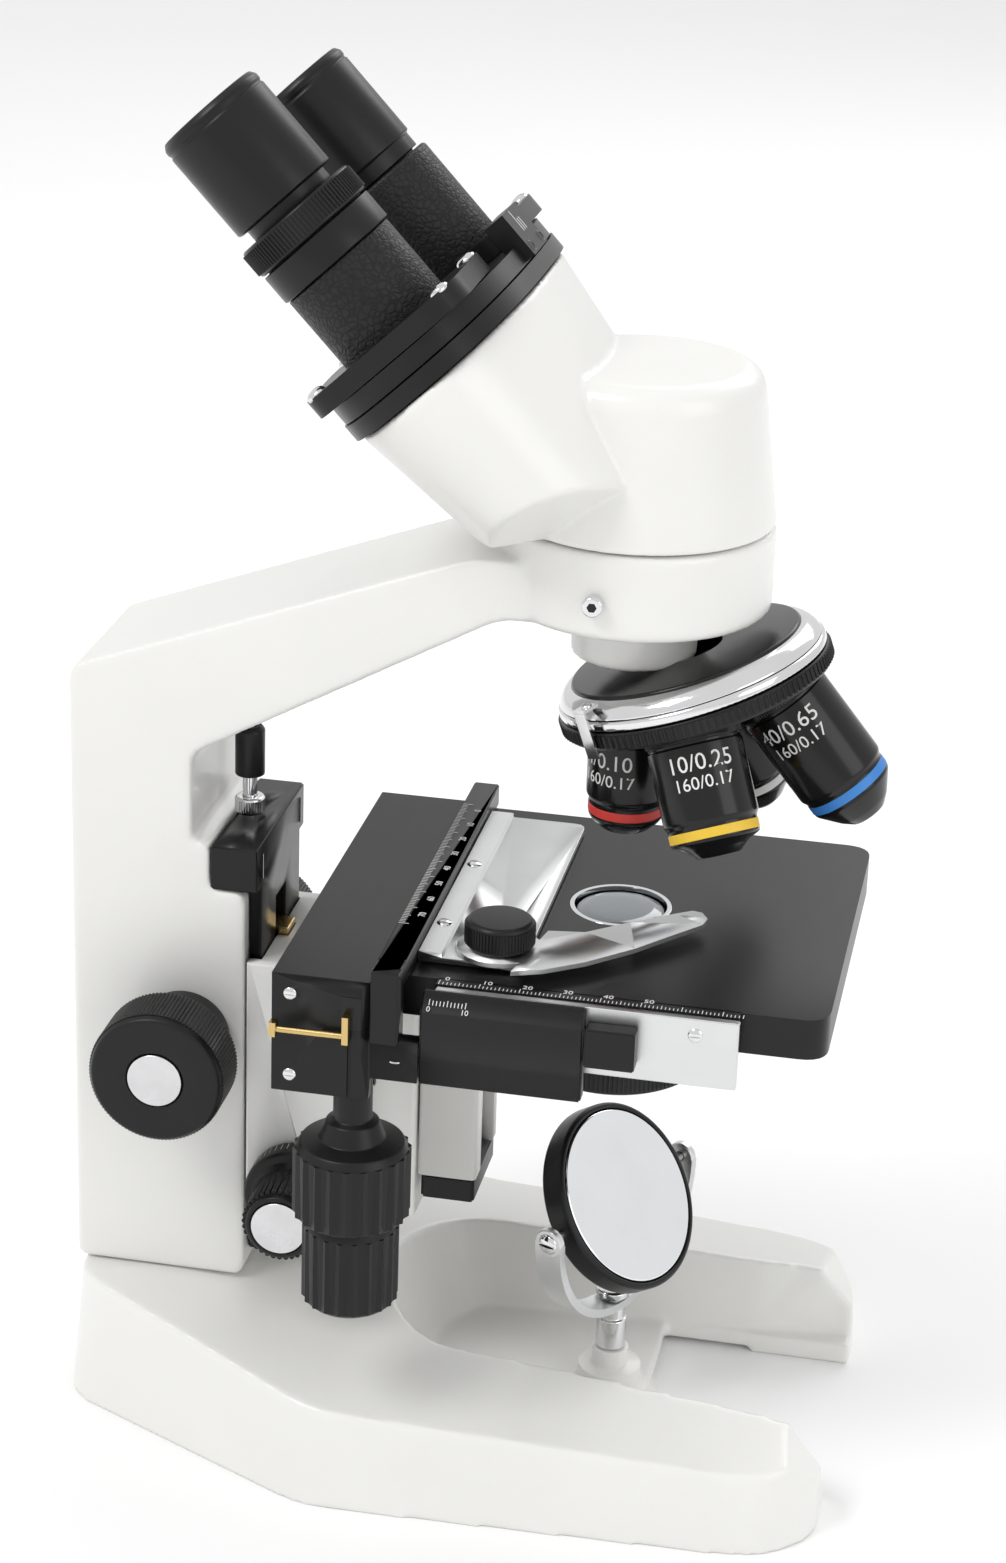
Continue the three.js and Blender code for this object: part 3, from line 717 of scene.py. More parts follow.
def settle(obj: bpy.types.Object, body: str, finish: Any, *nodes: str, slot: str = "") -> bpy.types.Object:
    """Gives a piece its finish, its body and the nodes it stands for.

    Args:
        obj: The piece.
        body: The frame body it rides on.
        finish: Its finish.
        nodes: Frame nodes it replaces.
        slot: Not used.

    Returns:
        The piece.
    """
    obj.data.materials.clear()
    obj.data.materials.append(material(finish))
    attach(obj, body)
    if nodes:
        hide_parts(*nodes)
    LOG.info("%s rides on %s", obj.name, body)
    return obj


def turned_piece(name: str, profile: Sequence[Point], place: Matrix, body: str, finish: Any, *nodes: str,
                 bore: float = 0.0, ease: float = 0.35, segments: int = 112) -> bpy.types.Object:
    """A lathe piece in one call; see lathe() and settle()."""
    obj = new_piece(name, lathe(profile, segments, ease, bore), place)
    return settle(obj, body, finish, *nodes)


# ---------------------------------------------------------------- geometry nodes


class NodeShop:
    """Builds one geometry node tree with named inputs."""

    def __init__(self, name: str, inputs: dict[str, tuple[str, Any]]) -> None:
        """Starts the tree.

        Args:
            name: Tree name.
            inputs: Socket type and default by input name.
        """
        self.tree = bpy.data.node_groups.new(name, "GeometryNodeTree")
        self.tree.interface.new_socket("Geometry", in_out="OUTPUT", socket_type="NodeSocketGeometry")
        for label, (kind, default) in inputs.items():
            made = self.tree.interface.new_socket(label, in_out="INPUT", socket_type=kind)
            if default is not None:
                made.default_value = default
        self.entry = self.tree.nodes.new("NodeGroupInput")

    def add(self, kind: str, settings: dict[str, Any] | None = None,
            values: dict[Any, Any] | None = None) -> bpy.types.Node:
        """Adds a node with settings, then values or links."""
        node = self.tree.nodes.new(kind)
        for key, value in (settings or {}).items():
            setattr(node, key, value)
        for key, value in (values or {}).items():
            if isinstance(value, bpy.types.NodeSocket):
                self.tree.links.new(value, node.inputs[key])
            else:
                node.inputs[key].default_value = value
        return node

    def given(self, label: str) -> bpy.types.NodeSocket:
        """The output of a named input."""
        return self.entry.outputs[label]

    def close(self, instances: bpy.types.NodeSocket) -> bpy.types.NodeTree:
        """Realizes the instances, sets the material and ends the tree."""
        real = self.add("GeometryNodeRealizeInstances", None, {0: instances})
        dressed = self.add("GeometryNodeSetMaterial", None,
                           {0: real.outputs[0], "Material": self.given("Material")})
        leave = self.tree.nodes.new("NodeGroupOutput")
        self.tree.links.new(dressed.outputs[0], leave.inputs[0])
        return self.tree


def ridge_tree() -> bpy.types.NodeTree:
    """Ridges standing round a circle: knurls, flutes and grips."""
    shop = NodeShop("ridge_ring", {
        "Count": ("NodeSocketInt", 60), "Radius": ("NodeSocketFloat", 0.01),
        "Ridge": ("NodeSocketFloat", 0.0005),
        "Height": ("NodeSocketFloat", 0.005), "Material": ("NodeSocketMaterial", None)})
    ring = shop.add("GeometryNodeMeshCircle", None,
                    {"Vertices": shop.given("Count"), "Radius": shop.given("Radius")})
    bar = shop.add("GeometryNodeMeshCylinder", None,
                   {"Vertices": 6, "Radius": shop.given("Ridge"), "Depth": shop.given("Height")})
    order = shop.add("GeometryNodeInputIndex")
    step = shop.add("ShaderNodeMath", {"operation": "DIVIDE"}, {0: math.tau, 1: shop.given("Count")})
    angle = shop.add("ShaderNodeMath", {"operation": "MULTIPLY"}, {0: order.outputs[0], 1: step.outputs[0]})
    spin = shop.add("ShaderNodeCombineXYZ", None, {2: angle.outputs[0]})
    placed = shop.add("GeometryNodeInstanceOnPoints", None,
                      {"Points": ring.outputs[0], "Instance": bar.outputs[0], "Rotation": spin.outputs[0]})
    return shop.close(placed.outputs[0])


def tick_tree() -> bpy.types.NodeTree:
    """A row of graduation marks with longer fifth and tenth marks."""
    shop = NodeShop("tick_row", {
        "Count": ("NodeSocketInt", 51), "Spacing": ("NodeSocketFloat", 0.001),
        "Length": ("NodeSocketFloat", 0.001),
        "Width": ("NodeSocketFloat", 0.0002), "Relief": ("NodeSocketFloat", 0.00006),
        "Material": ("NodeSocketMaterial", None)})
    step = shop.add("ShaderNodeCombineXYZ", None, {0: shop.given("Spacing")})
    row = shop.add("GeometryNodeMeshLine", None, {"Count": shop.given("Count"), "Offset": step.outputs[0]})
    order = shop.add("GeometryNodeInputIndex")
    longer = None
    for period in (5.0, 10.0):
        left = shop.add("ShaderNodeMath", {"operation": "MODULO"}, {0: order.outputs[0], 1: period})
        hit = shop.add("ShaderNodeMath", {"operation": "LESS_THAN"}, {0: left.outputs[0], 1: 0.5})
        part = shop.add("ShaderNodeMath", {"operation": "MULTIPLY"}, {0: hit.outputs[0], 1: 0.38})
        if longer is None:
            longer = shop.add("ShaderNodeMath", {"operation": "ADD"}, {0: part.outputs[0], 1: 1.0})
        else:
            longer = shop.add("ShaderNodeMath", {"operation": "ADD"},
                              {0: part.outputs[0], 1: longer.outputs[0]})
    reach = shop.add("ShaderNodeMath", {"operation": "MULTIPLY"},
                     {0: longer.outputs[0], 1: shop.given("Length")})
    size = shop.add("ShaderNodeCombineXYZ", None,
                    {0: shop.given("Width"), 1: reach.outputs[0], 2: shop.given("Relief")})
    unit = shop.add("GeometryNodeMeshCube", None, {"Size": (1, 1, 1)})
    lifted = shop.add("GeometryNodeTransform", None, {0: unit.outputs[0], "Translation": (0, 0.5, 0)})
    placed = shop.add("GeometryNodeInstanceOnPoints", None,
                      {"Points": row.outputs[0], "Instance": lifted.outputs[0], "Scale": size.outputs[0]})
    return shop.close(placed.outputs[0])


def screw_tree() -> bpy.types.NodeTree:
    """Domed slotted screw heads set on a polygon's corners."""
    shop = NodeShop("screw_set", {
        "Count": ("NodeSocketInt", 1), "Circle": ("NodeSocketFloat", 0.0), "Head": ("NodeSocketFloat", 0.002),
        "Rise": ("NodeSocketFloat", 0.0012), "Material": ("NodeSocketMaterial", None)})
    ring = shop.add("GeometryNodeMeshLine", None, {"Count": shop.given("Count")})
    order = shop.add("GeometryNodeInputIndex")
    step = shop.add("ShaderNodeMath", {"operation": "DIVIDE"}, {0: math.tau, 1: shop.given("Count")})
    angle = shop.add("ShaderNodeMath", {"operation": "MULTIPLY"}, {0: order.outputs[0], 1: step.outputs[0]})
    east = shop.add("ShaderNodeMath", {"operation": "COSINE"}, {0: angle.outputs[0]})
    north = shop.add("ShaderNodeMath", {"operation": "SINE"}, {0: angle.outputs[0]})
    spot = shop.add("ShaderNodeCombineXYZ", None, {0: east.outputs[0], 1: north.outputs[0]})
    wide = shop.add("ShaderNodeVectorMath", {"operation": "SCALE"},
                    {0: spot.outputs[0], "Scale": shop.given("Circle")})
    laid = shop.add("GeometryNodeSetPosition", None, {0: ring.outputs[0], "Position": wide.outputs[0]})
    ball = shop.add("GeometryNodeMeshUVSphere", None,
                    {"Segments": 40, "Rings": 20, "Radius": shop.given("Head")})
    crush = shop.add("ShaderNodeMath", {"operation": "DIVIDE"},
                     {0: shop.given("Rise"), 1: shop.given("Head")})
    flat = shop.add("ShaderNodeCombineXYZ", None, {0: 1.0, 1: 1.0, 2: crush.outputs[0]})
    dome = shop.add("GeometryNodeTransform", None, {0: ball.outputs[0], "Scale": flat.outputs[0]})
    slot = shop.add("ShaderNodeMath", {"operation": "MULTIPLY"}, {0: shop.given("Head"), 1: 0.3})
    span = shop.add("ShaderNodeMath", {"operation": "MULTIPLY"}, {0: shop.given("Head"), 1: 3.0})
    cut_size = shop.add("ShaderNodeCombineXYZ", None,
                        {0: span.outputs[0], 1: slot.outputs[0], 2: shop.given("Rise")})
    cutter = shop.add("GeometryNodeMeshCube", None, {"Size": cut_size.outputs[0]})
    rise = shop.add("ShaderNodeCombineXYZ", None, {2: shop.given("Rise")})
    high = shop.add("GeometryNodeTransform", None, {0: cutter.outputs[0], "Translation": rise.outputs[0]})
    head = shop.add("GeometryNodeMeshBoolean", {"operation": "DIFFERENCE"},
                    {0: dome.outputs[0], 1: high.outputs[0]})
    placed = shop.add("GeometryNodeInstanceOnPoints", None,
                      {"Points": laid.outputs[0], "Instance": head.outputs[0]})
    return shop.close(placed.outputs[0])


_trees: dict[str, bpy.types.NodeTree] = {}


def grown(name: str, make: Callable[[], bpy.types.NodeTree], place: Matrix, body: str, finish: Any,
          **values: float) -> bpy.types.Object:
    """Runs a geometry node tree and keeps its plain mesh.

    Args:
        name: The piece's name.
        make: The function that builds the tree.
        place: Local to row frame, in millimetres.
        body: The frame body it rides on.
        finish: Its finish.
        values: Tree inputs by name, lengths in metres.

    Returns:
        The piece.
    """
    if make.__name__ not in _trees:
        _trees[make.__name__] = make()
    tree = _trees[make.__name__]
    obj = bpy.data.objects.new(name, bpy.data.meshes.new(name))
    bpy.context.scene.collection.objects.link(obj)
    grower = obj.modifiers.new("grow", "NODES")
    grower.node_group = tree
    given = {**values, "Material": material(finish)}
    for item in tree.interface.items_tree:
        if item.item_type == "SOCKET" and item.in_out == "INPUT" and item.name in given:
            grower[item.identifier] = given[item.name]
    apply_all(obj)
    local = Matrix.Translation(place.translation * MM) @ place.to_3x3().to_4x4()
    obj.data.transform(local)
    shade(obj)
    return settle(obj, body, finish)


def ridges(name: str, radius: float, low: float, high: float, count: int, size: float, place: Matrix,
           body: str,
           finish: Any) -> bpy.types.Object:
    """Ridges round a turned piece between two heights."""
    return grown(name, ridge_tree, place @ shift(0, 0, (low + high) / 2), body, finish, Count=count,
                 Radius=radius * MM, Ridge=size * MM, Height=(high - low) * MM)


def ticks(name: str, count: int, spacing: float, length: float, place: Matrix, body: str,
          width: float = 0.22) -> bpy.types.Object:
    """A row of white graduation marks along local x."""
    return grown(name, tick_tree, place, body, INK, Count=count, Spacing=spacing * MM, Length=length * MM,
                 Width=width * MM, Relief=0.06 * MM)


def screws(name: str, place: Matrix, body: str, head: float, rise: float, finish: Any = CHROME,
           count: int = 1,
           circle: float = 0.0) -> bpy.types.Object:
    """Screw heads facing local z."""
    return grown(name, screw_tree, place, body, finish, Count=count, Circle=circle * MM, Head=head * MM,
                 Rise=rise * MM)


def figures(name: str, marks: Sequence[tuple[str, Matrix]], size: float, body: str,
            wrap: float = 0.0) -> bpy.types.Object:
    """Raised white numbers joined in one piece.

    Args:
        name: The piece's name.
        marks: Text and its place, local z outwards.
        size: Letter height in millimetres.
        body: The frame body it rides on.
        wrap: Radius of a cylinder about local y that the text follows, or 0 for flat.

    Returns:
        The piece.
    """
    joined = bmesh.new()
    for text, place in marks:
        curve = bpy.data.curves.new(name, "FONT")
        curve.body = text
        curve.size = size
        curve.extrude = 0.05
        curve.align_x = "CENTER"
        curve.align_y = "CENTER"
        curve.resolution_u = 3
        holder = bpy.data.objects.new(name, curve)
        bpy.context.scene.collection.objects.link(holder)
        mesh = bpy.data.meshes.new_from_object(holder.evaluated_get(bpy.context.evaluated_depsgraph_get()))
        bpy.data.objects.remove(holder)
        bpy.data.curves.remove(curve)
        if wrap:
            for v in mesh.vertices:
                x, y, z = v.co
                v.co = ((wrap + z) * math.sin(x / wrap), y, (wrap + z) * math.cos(x / wrap))
        mesh.transform(Matrix.Scale(MM, 4) @ place)
        joined.from_mesh(mesh)
        bpy.data.meshes.remove(mesh)
    bmesh.ops.remove_doubles(joined, verts=joined.verts, dist=1e-8)
    mesh = bpy.data.meshes.new(name)
    joined.to_mesh(mesh)
    joined.free()
    obj = bpy.data.objects.new(name, mesh)
    bpy.context.scene.collection.objects.link(obj)
    return settle(obj, body, INK)


# ---------------------------------------------------------------- stand


@dataclass
class Stand:
    """Forked foot, pillar with arm, slide way, stop and nosepiece mount."""

    foot: list[Point] = field(default_factory=lambda: [
        (-141.3, -32.4), (-66, -70), (39.6, -65.5), (54, -63.5), (66, -52),
        (66, 52), (54, 63.5), (39.6, 65.5), (-66, 70), (-141.3, 32.4)])
    pillar_half: float = 24.15
    seam: float = 253.4
    axle: Point = (-109.6, 109.5)
    stop_x: float = -99.0

    def roof(self, x: float, y: float) -> float:
        """Height of the foot's sloping top."""
        return 35.34 - 0.0549 * x - 0.159 * abs(y)

    def cap(self, side: int) -> Callable[[bmesh.types.BMesh], None]:
        """Cutter above one half of the sloping top."""

        def build(bm: bmesh.types.BMesh) -> None:
            """Adds the cutter."""
            plan = [(-170, 0), (90, 0), (90, 90 * side), (-170, 90 * side)]
            low = [bm.verts.new((x, y, self.roof(x, y))) for x, y in plan]
            high = [bm.verts.new((x, y, 80)) for x, y in plan]
            bm.faces.new(low)
            bm.faces.new(high)
            for i in range(4):
                j = (i + 1) % 4
                bm.faces.new((low[i], low[j], high[j], high[i]))

        return build

    def build_foot(self) -> None:
        """The forked foot casting."""
        here = Matrix.Identity(4)
        plan = eased(self.foot, 9, 5, True)
        top = eased([(x * 0.975, y * 0.95) for x, y in self.foot], 9, 5, True)
        back = [(-32 + 17 * math.cos(math.radians(a)), 31 * math.sin(math.radians(a)))
                for a in range(90, 271, 10)]
        back_top = [(-35 + 25 * math.cos(math.radians(a)), 36 * math.sin(math.radians(a)))
                    for a in range(90, 271, 10)]
        low = back + [(3.2, -33.8), (38.9, -35.7), (62, -39.8), (80, -41), (80, 41), (62, 39.8),
                      (38.9, 35.7), (3.2, 33.8)]
        high = back_top + [(10, -38), (40, -39.4), (57, -40.4), (80, -42), (80, 42), (57, 40.4), (40, 39.4),
                           (10, 38)]
        tip = [(57, 24.4), (67.5, 12.4), (80, 12.4), (80, 60), (57, 60)]
        cuts = [
            (prism(low, 6, 46, high), here),
            (block(14, 80, -33.6, 33.6, -5, 10), here),
            (self.cap(1), here), (self.cap(-1), here),
            (block(-200, 100, -90, 90, 38, 90), here),
            (prism(tip, -90, 90), turn("X", 90)),
            (prism([(-90, -44), (-58, -62), (38, -59), (38, 59), (-58, 62), (-90, 44)], -3, 1.6), here),
        ]
        adds = [(prism(plan, 0, 46, top), here)]
        foot = cast("foot_casting", adds, cuts, 0.85, 7)
        settle(foot, "stand", ENAMEL, "base_casting")
        centre = shift(MIRROR_PIVOT.x, MIRROR_PIVOT.y)
        turned_piece("mirror_boss",
                     [(14, 0), (14, 3), (9.6, 6), (8.6, 7), (8.6, 11.5), (4.9, 11.7), (4.9, 17)],
                     centre, "stand", ENAMEL, bore=2.7)

    def build_arm(self) -> None:
        """Pillar, arm, ring and boss in one casting."""
        here = Matrix.Identity(4)
        side = [(-140, 38.3), (-94, 38.3), (-94, 150.7), (-103.3, 150.7), (-103.3, 163.4), (-108, 163.4),
                (-108, 187.6), (-95.2, 194.7), (-30.5, 230.9), (-12, 231.5), (0, 231.5), (0, 246),
                (-37.2, 246.5),
                (-138.4, 209), (-140, 206)]
        flat = [(x, z) for x, z in eased(side, 3.2, 4, True)]
        ring = [(32.4, 231.5), (33.7, 232.8), (33.7, self.seam)]
        adds = [
            (prism(flat, -self.pillar_half, self.pillar_half, None, 2.0), turn("X", 90)),
            (lathe(ring, 160, 0.6), here),
            (lathe([(15.8, 217.7), (15.8, 234)], 96, 0.4), here),
        ]
        cuts = [(lathe([(22, 249), (22, 262)], 80, 0.2), here),
                (lathe([(12.5, 200), (12.5, 262)], 64, 0.2), here)]
        arm = cast("arm_and_pillar", adds, cuts, 0.95, 4)
        settle(arm, "stand", ENAMEL, "arm_casting")

    def build_slide_way(self) -> None:
        """Black way, friction collars, height stop and bolts."""
        way = refined("dovetail_rail", "slide_way", 0.5)
        settle(way, "stand", SATIN_BLACK, "dovetail_rail")
        for side in Side:
            collar = [(12, 24.3), (12, 33), (10.8, 35.6)]
            turned_piece(f"friction_collar_{side.word}", collar, along_y(*self.axle, side.value), "stand",
                         SATIN_BLACK, f"tension_collar_{side.word}", bore=4.2)
            bolt = [(3, 21.7), (3, 58)]
            turned_piece(f"pillar_bolt_shank_{side.word}", bolt, shift(-122, 15 * side.value), "stand", STEEL,
                         segments=24)
            screws(f"way_screw_{side.word}", shift(-90.6, 19.5 * side.value, 157) @ turn("Y", 90), "stand",
                   2.3, 0.3,
                   GLOSS_BLACK)
        column = shift(self.stop_x)
        turned_piece("stop_thread", [(1.5, 153), (1.85, 153.5), (1.85, 173.9)], column, "stop", CHROME,
                     "stop_screw", segments=48)
        ridges("stop_thread_turns", 1.72, 168.4, 173.6, 18, 0.2, column, "stop", CHROME)
        turned_piece("lock_nut", [(3.5, 163.5), (3.9, 164), (3.9, 167.6), (3.5, 168.1)], column, "stand",
                     CHROME,
                     "stop_nut", bore=2.0)
        ridges("lock_nut_knurl", 3.85, 164.1, 167.5, 40, 0.16, column, "stand", CHROME)
        turned_piece("stop_bush", [(3.9, 174.2), (3.9, 186.6), (3, 187.8)], column, "stand", SATIN_BLACK,
                     "stop_sleeve", bore=2.1)
        clamp = along_y(-5.4, 241.2, -1)
        turned_piece("head_clamp_screw",
                     [(1.9, 22.4), (1.9, 34), (2.4, 34), (2.6, 34.5), (2.6, 36.4), (2.3, 36.9)],
                     clamp, "stand", CHROME, "head_lock_screw", segments=64)
        # A thin black hexagon just proud of the chrome screw end: painted shade standing for the hex socket
        # recess.
        turned_piece("head_clamp_socket", [(1.25, 36.7), (1.25, 36.98)], clamp, "stand", GLOSS_BLACK,
                     segments=6,
                     ease=0.02)

    def build_nosepiece_mount(self) -> None:
        """Fixed dish, stud and index spring of the revolving nosepiece."""
        dish = [(15, -1.7), (29.4, -1.7), (29.9, -1.2), (29.9, 2.8)]
        turned_piece("nosepiece_dish", dish, TURRET, "stand", GLOSS_BLACK, "nosepiece_cap", bore=9.9,
                     ease=0.4,
                     segments=144)
        band = [(30.2, -0.9), (31.8, -0.3), (33.2, 0.9), (34.1, 2.5), (34.1, 2.9)]
        turned_piece("nosepiece_polished_band", band, TURRET, "stand", CHROME, bore=29.95, ease=0.8,
                     segments=160)
        stud = [(4, 2.6), (4, 17.4), (6.5, 17.4), (6.5, 19.3), (5.8, 20)]
        turned_piece("turret_pivot_stud", stud, TURRET, "stand", STEEL, "turret_stud", segments=64)
        screws("turret_pivot_slot", TURRET @ shift(0, 0, 19.9), "stand", 3.2, 0.6, CHROME)
        at = TURRET @ turn("Z", 128)
        leaf = new_piece("index_leaf", block(36.9, 37.5, -2.0, 2.0, -0.6, 11.5, 0.2), at)
        settle(leaf, "stand", CHROME, slot="chrome")
        tab = new_piece("index_tab", block(32.6, 37.5, -2.0, 2.0, -1.3, -0.5, 0.2), at)
        settle(tab, "stand", CHROME, slot="chrome")
        screws("index_screw", at @ shift(34.6, 0, -1.35) @ turn("X", 180), "stand", 1.4, 0.8)

    def build(self) -> None:
        """Builds the whole stand."""
        self.build_foot()
        self.build_arm()
        self.build_slide_way()
        self.build_nosepiece_mount()


# ---------------------------------------------------------------- focus


@dataclass
class FocusDrives:
    """Coarse and fine knobs, carrier and rack."""

    coarse: Point = (-109.6, 109.5)
    fine: Point = (-78.6, 67.5)

    def build(self) -> None:
        """Builds both drives and the carrier."""
        disc_c = TurnedFace("turned_disc_coarse", "satin_aluminium", self.coarse)
        disc_f = TurnedFace("turned_disc_fine", "satin_aluminium", self.fine)
        turned_piece("coarse_axle", [(4, -48), (4, -8), (5.7, -8), (5.7, 8), (4, 8), (4, 48)],
                     along_y(*self.coarse, 1), "coarse_drive", STEEL, "coarse_shaft", segments=64)
        turned_piece("fine_axle", [(3, -42), (3, 42)], along_y(*self.fine, 1), "fine_drive", STEEL,
                     "fine_shaft",
                     segments=48)
        for side in Side:
            way = along_y(*self.coarse, side.value)
            knob = [(12.5, 36.2), (16.4, 36.4), (17.4, 37.6), (17.4, 51.6), (16.8, 52.6), (16.2, 52.9),
                    (7.6, 53.0), (7.4, 52.1)]
            turned_piece(f"coarse_grip_{side.word}", knob, way, "coarse_drive", BLACK_PLASTIC,
                         f"coarse_knob_{side.word}")
            ridges(f"coarse_knurl_{side.word}", 17.35, 38.2, 51.2, 110, 0.5, way, "coarse_drive",
                   BLACK_PLASTIC)
            turned_piece(f"coarse_badge_{side.word}", [(7.1, 52.2), (7.1, 53.2)], way, "coarse_drive", disc_c,
                         f"coarse_disc_{side.word}", ease=0.15)
            way = along_y(*self.fine, side.value)
            knob = [(13.6, 24.65), (13.6, 30.2), (13, 31), (11.2, 31.2), (10.2, 33), (9.2, 44.6), (8.8, 46.2),
                    (8.2, 46.5), (7.6, 46.5), (7.5, 45.7)]
            turned_piece(f"fine_grip_{side.word}", knob, way, "fine_drive", BLACK_PLASTIC,
                         f"fine_knob_{side.word}")
            ridges(f"fine_flutes_{side.word}", 9.5, 33.2, 44.8, 36, 0.72, way, "fine_drive", BLACK_PLASTIC)
            turned_piece(f"fine_badge_{side.word}", [(7.2, 45.6), (7.2, 46.7)], way, "fine_drive", disc_f,
                         f"fine_disc_{side.word}", ease=0.15)
            ridges(f"fine_scale_{side.word}", 13.58, 25.2, 28.0, 50, 0.09, way, "fine_drive", INK)
        carrier = refined("stage_carrier", "carrier_casting", 0.8)
        settle(carrier, "focus_slide", ENAMEL, "stage_carrier")
        rack = refined("focus_rack", "rack_bar", 0.3)
        settle(rack, "focus_slide", BRASS, "focus_rack")


# ---------------------------------------------------------------- stage


@dataclass
class Stage:
    """Bracket, plate, guide rail and under-stage condenser."""

    low: float = 137.7
    top: float = 148.3

    def build_plate(self) -> None:
        """Black plate with its light hole and front rail."""
        plan = eased([(-62, -55.4), (59.7, -55.4), (59.7, 55.4), (-62, 55.4)], 7, 6, True)
        plate = drilled_plate("stage_table", plan, self.low, self.top, 13.3, 0.7, Matrix.Identity(4), 128)
        settle(plate, "stage", SATIN_BLACK, "stage_plate")
        lip = new_piece("stage_lip", block(-36.3, 38.3, -58.4, -54.9, self.low, self.top, 0.4),
                        Matrix.Identity(4))
        settle(lip, "stage", SATIN_BLACK)
        turned_piece("light_hole_ring", [(12.1, 147.2), (13.2, 147.2), (13.2, 148.35), (12.1, 148.35)],
                     Matrix.Identity(4), "stage", CHROME, bore=12.0, ease=0.1)
        rail = refined("stage_rail", "guide_rail", 0.25)
        settle(rail, "stage", ALUMINIUM, "stage_rail")
        for x in (28.3, -30.0):
            screws(f"rail_screw_{int(x) + 40}", along_y(x, 143.6, -1) @ shift(0, 0, 60.9), "stage", 1.9, 0.9)
        ticks("x_scale_marks", 76, 1.0, 1.3, shift(-35.7, -58.3, self.top + 0.01), "stage", 0.2)
        numbers = [(str(10 * k), shift(-35.7 + 10 * k + 1.6, -55.0, self.top)) for k in range(6)]
        figures("x_scale_numbers", numbers, 2.6, "stage")

    def build_bracket(self) -> None:
        """White bracket, its foot and the ribs on its face."""
        bracket = refined("stage_bracket", "bracket_casting", 0.7)
        settle(bracket, "stage", ENAMEL, "stage_bracket")
        foot = refined("bracket_foot", "bracket_pad", 0.5)
        settle(foot, "stage", BLACK_PLASTIC, "bracket_foot")

    def build_condenser(self) -> None:
        """Condenser barrel with iris lever and lens."""
        here = Matrix.Identity(4)
        barrel = [(15, 104), (21, 104), (23, 105.2), (23, 111), (21.6, 112.2), (16.4, 112.8), (16.4, 126),
                  (18.4, 127), (24, 128.2), (24, 137.4)]
        turned_piece("condenser_barrel", barrel, here, "stage", SATIN_BLACK, "condenser_housing", bore=12.1)
        ridges("condenser_knurl", 22.9, 105.8, 110.6, 120, 0.42, here, "stage", SATIN_BLACK)
        lens = [(9.5, 122.4), (11.9, 124), (11.9, 146.2), (11.2, 147.2), (9, 147.9), (5, 148.2)]
        turned_piece("condenser_top_lens", lens, here, "stage", LENS, "condenser_lens", ease=1.0)
        arm = new_piece("iris_arm", lathe([(1.1, 13.6), (1.1, 31)], 32, 0.1),
                        turn("Z", -48) @ along_x(0, 115.1))
        settle(arm, "iris", CHROME, "iris_lever")
        ball = [(1.2, 29.6), (2.1, 30.6), (2.35, 31.8), (2.1, 33), (1.2, 34)]
        turned_piece("iris_ball", ball, turn("Z", -48) @ along_x(0, 115.1), "iris", CHROME, ease=0.8,
                     segments=48)

    def build(self) -> None:
        """Builds the whole stage."""
        self.build_plate()
        self.build_bracket()
        self.build_condenser()


def drilled_plate(name: str, plan: Sequence[Point], low: float, high: float, hole: float,
                  bevel: float, place: Matrix, facets: int = 96) -> bpy.types.Object:
    """A bevelled plate with one round hole at its local origin.

    Args:
        name: The piece's name.
        plan: Outline.
        low: Underside height.
        high: Top height.
        hole: Hole radius.
        bevel: Edge radius.
        place: Where the plate goes.
        facets: Facets round the hole.

    Returns:
        The plate.
    """
    plate = new_piece(name, prism(plan, low, high, None, bevel), place)
    tool = new_piece(name + "_drill", lathe([(hole, low - 5), (hole, high + 5)], facets, 0.0), place)
    drill = plate.modifiers.new("drill", "BOOLEAN")
    drill.operation = "DIFFERENCE"
    drill.solver = "EXACT"
    drill.object = tool
    apply_all(plate)
    bpy.data.objects.remove(tool)
    shade(plate)
    return plate


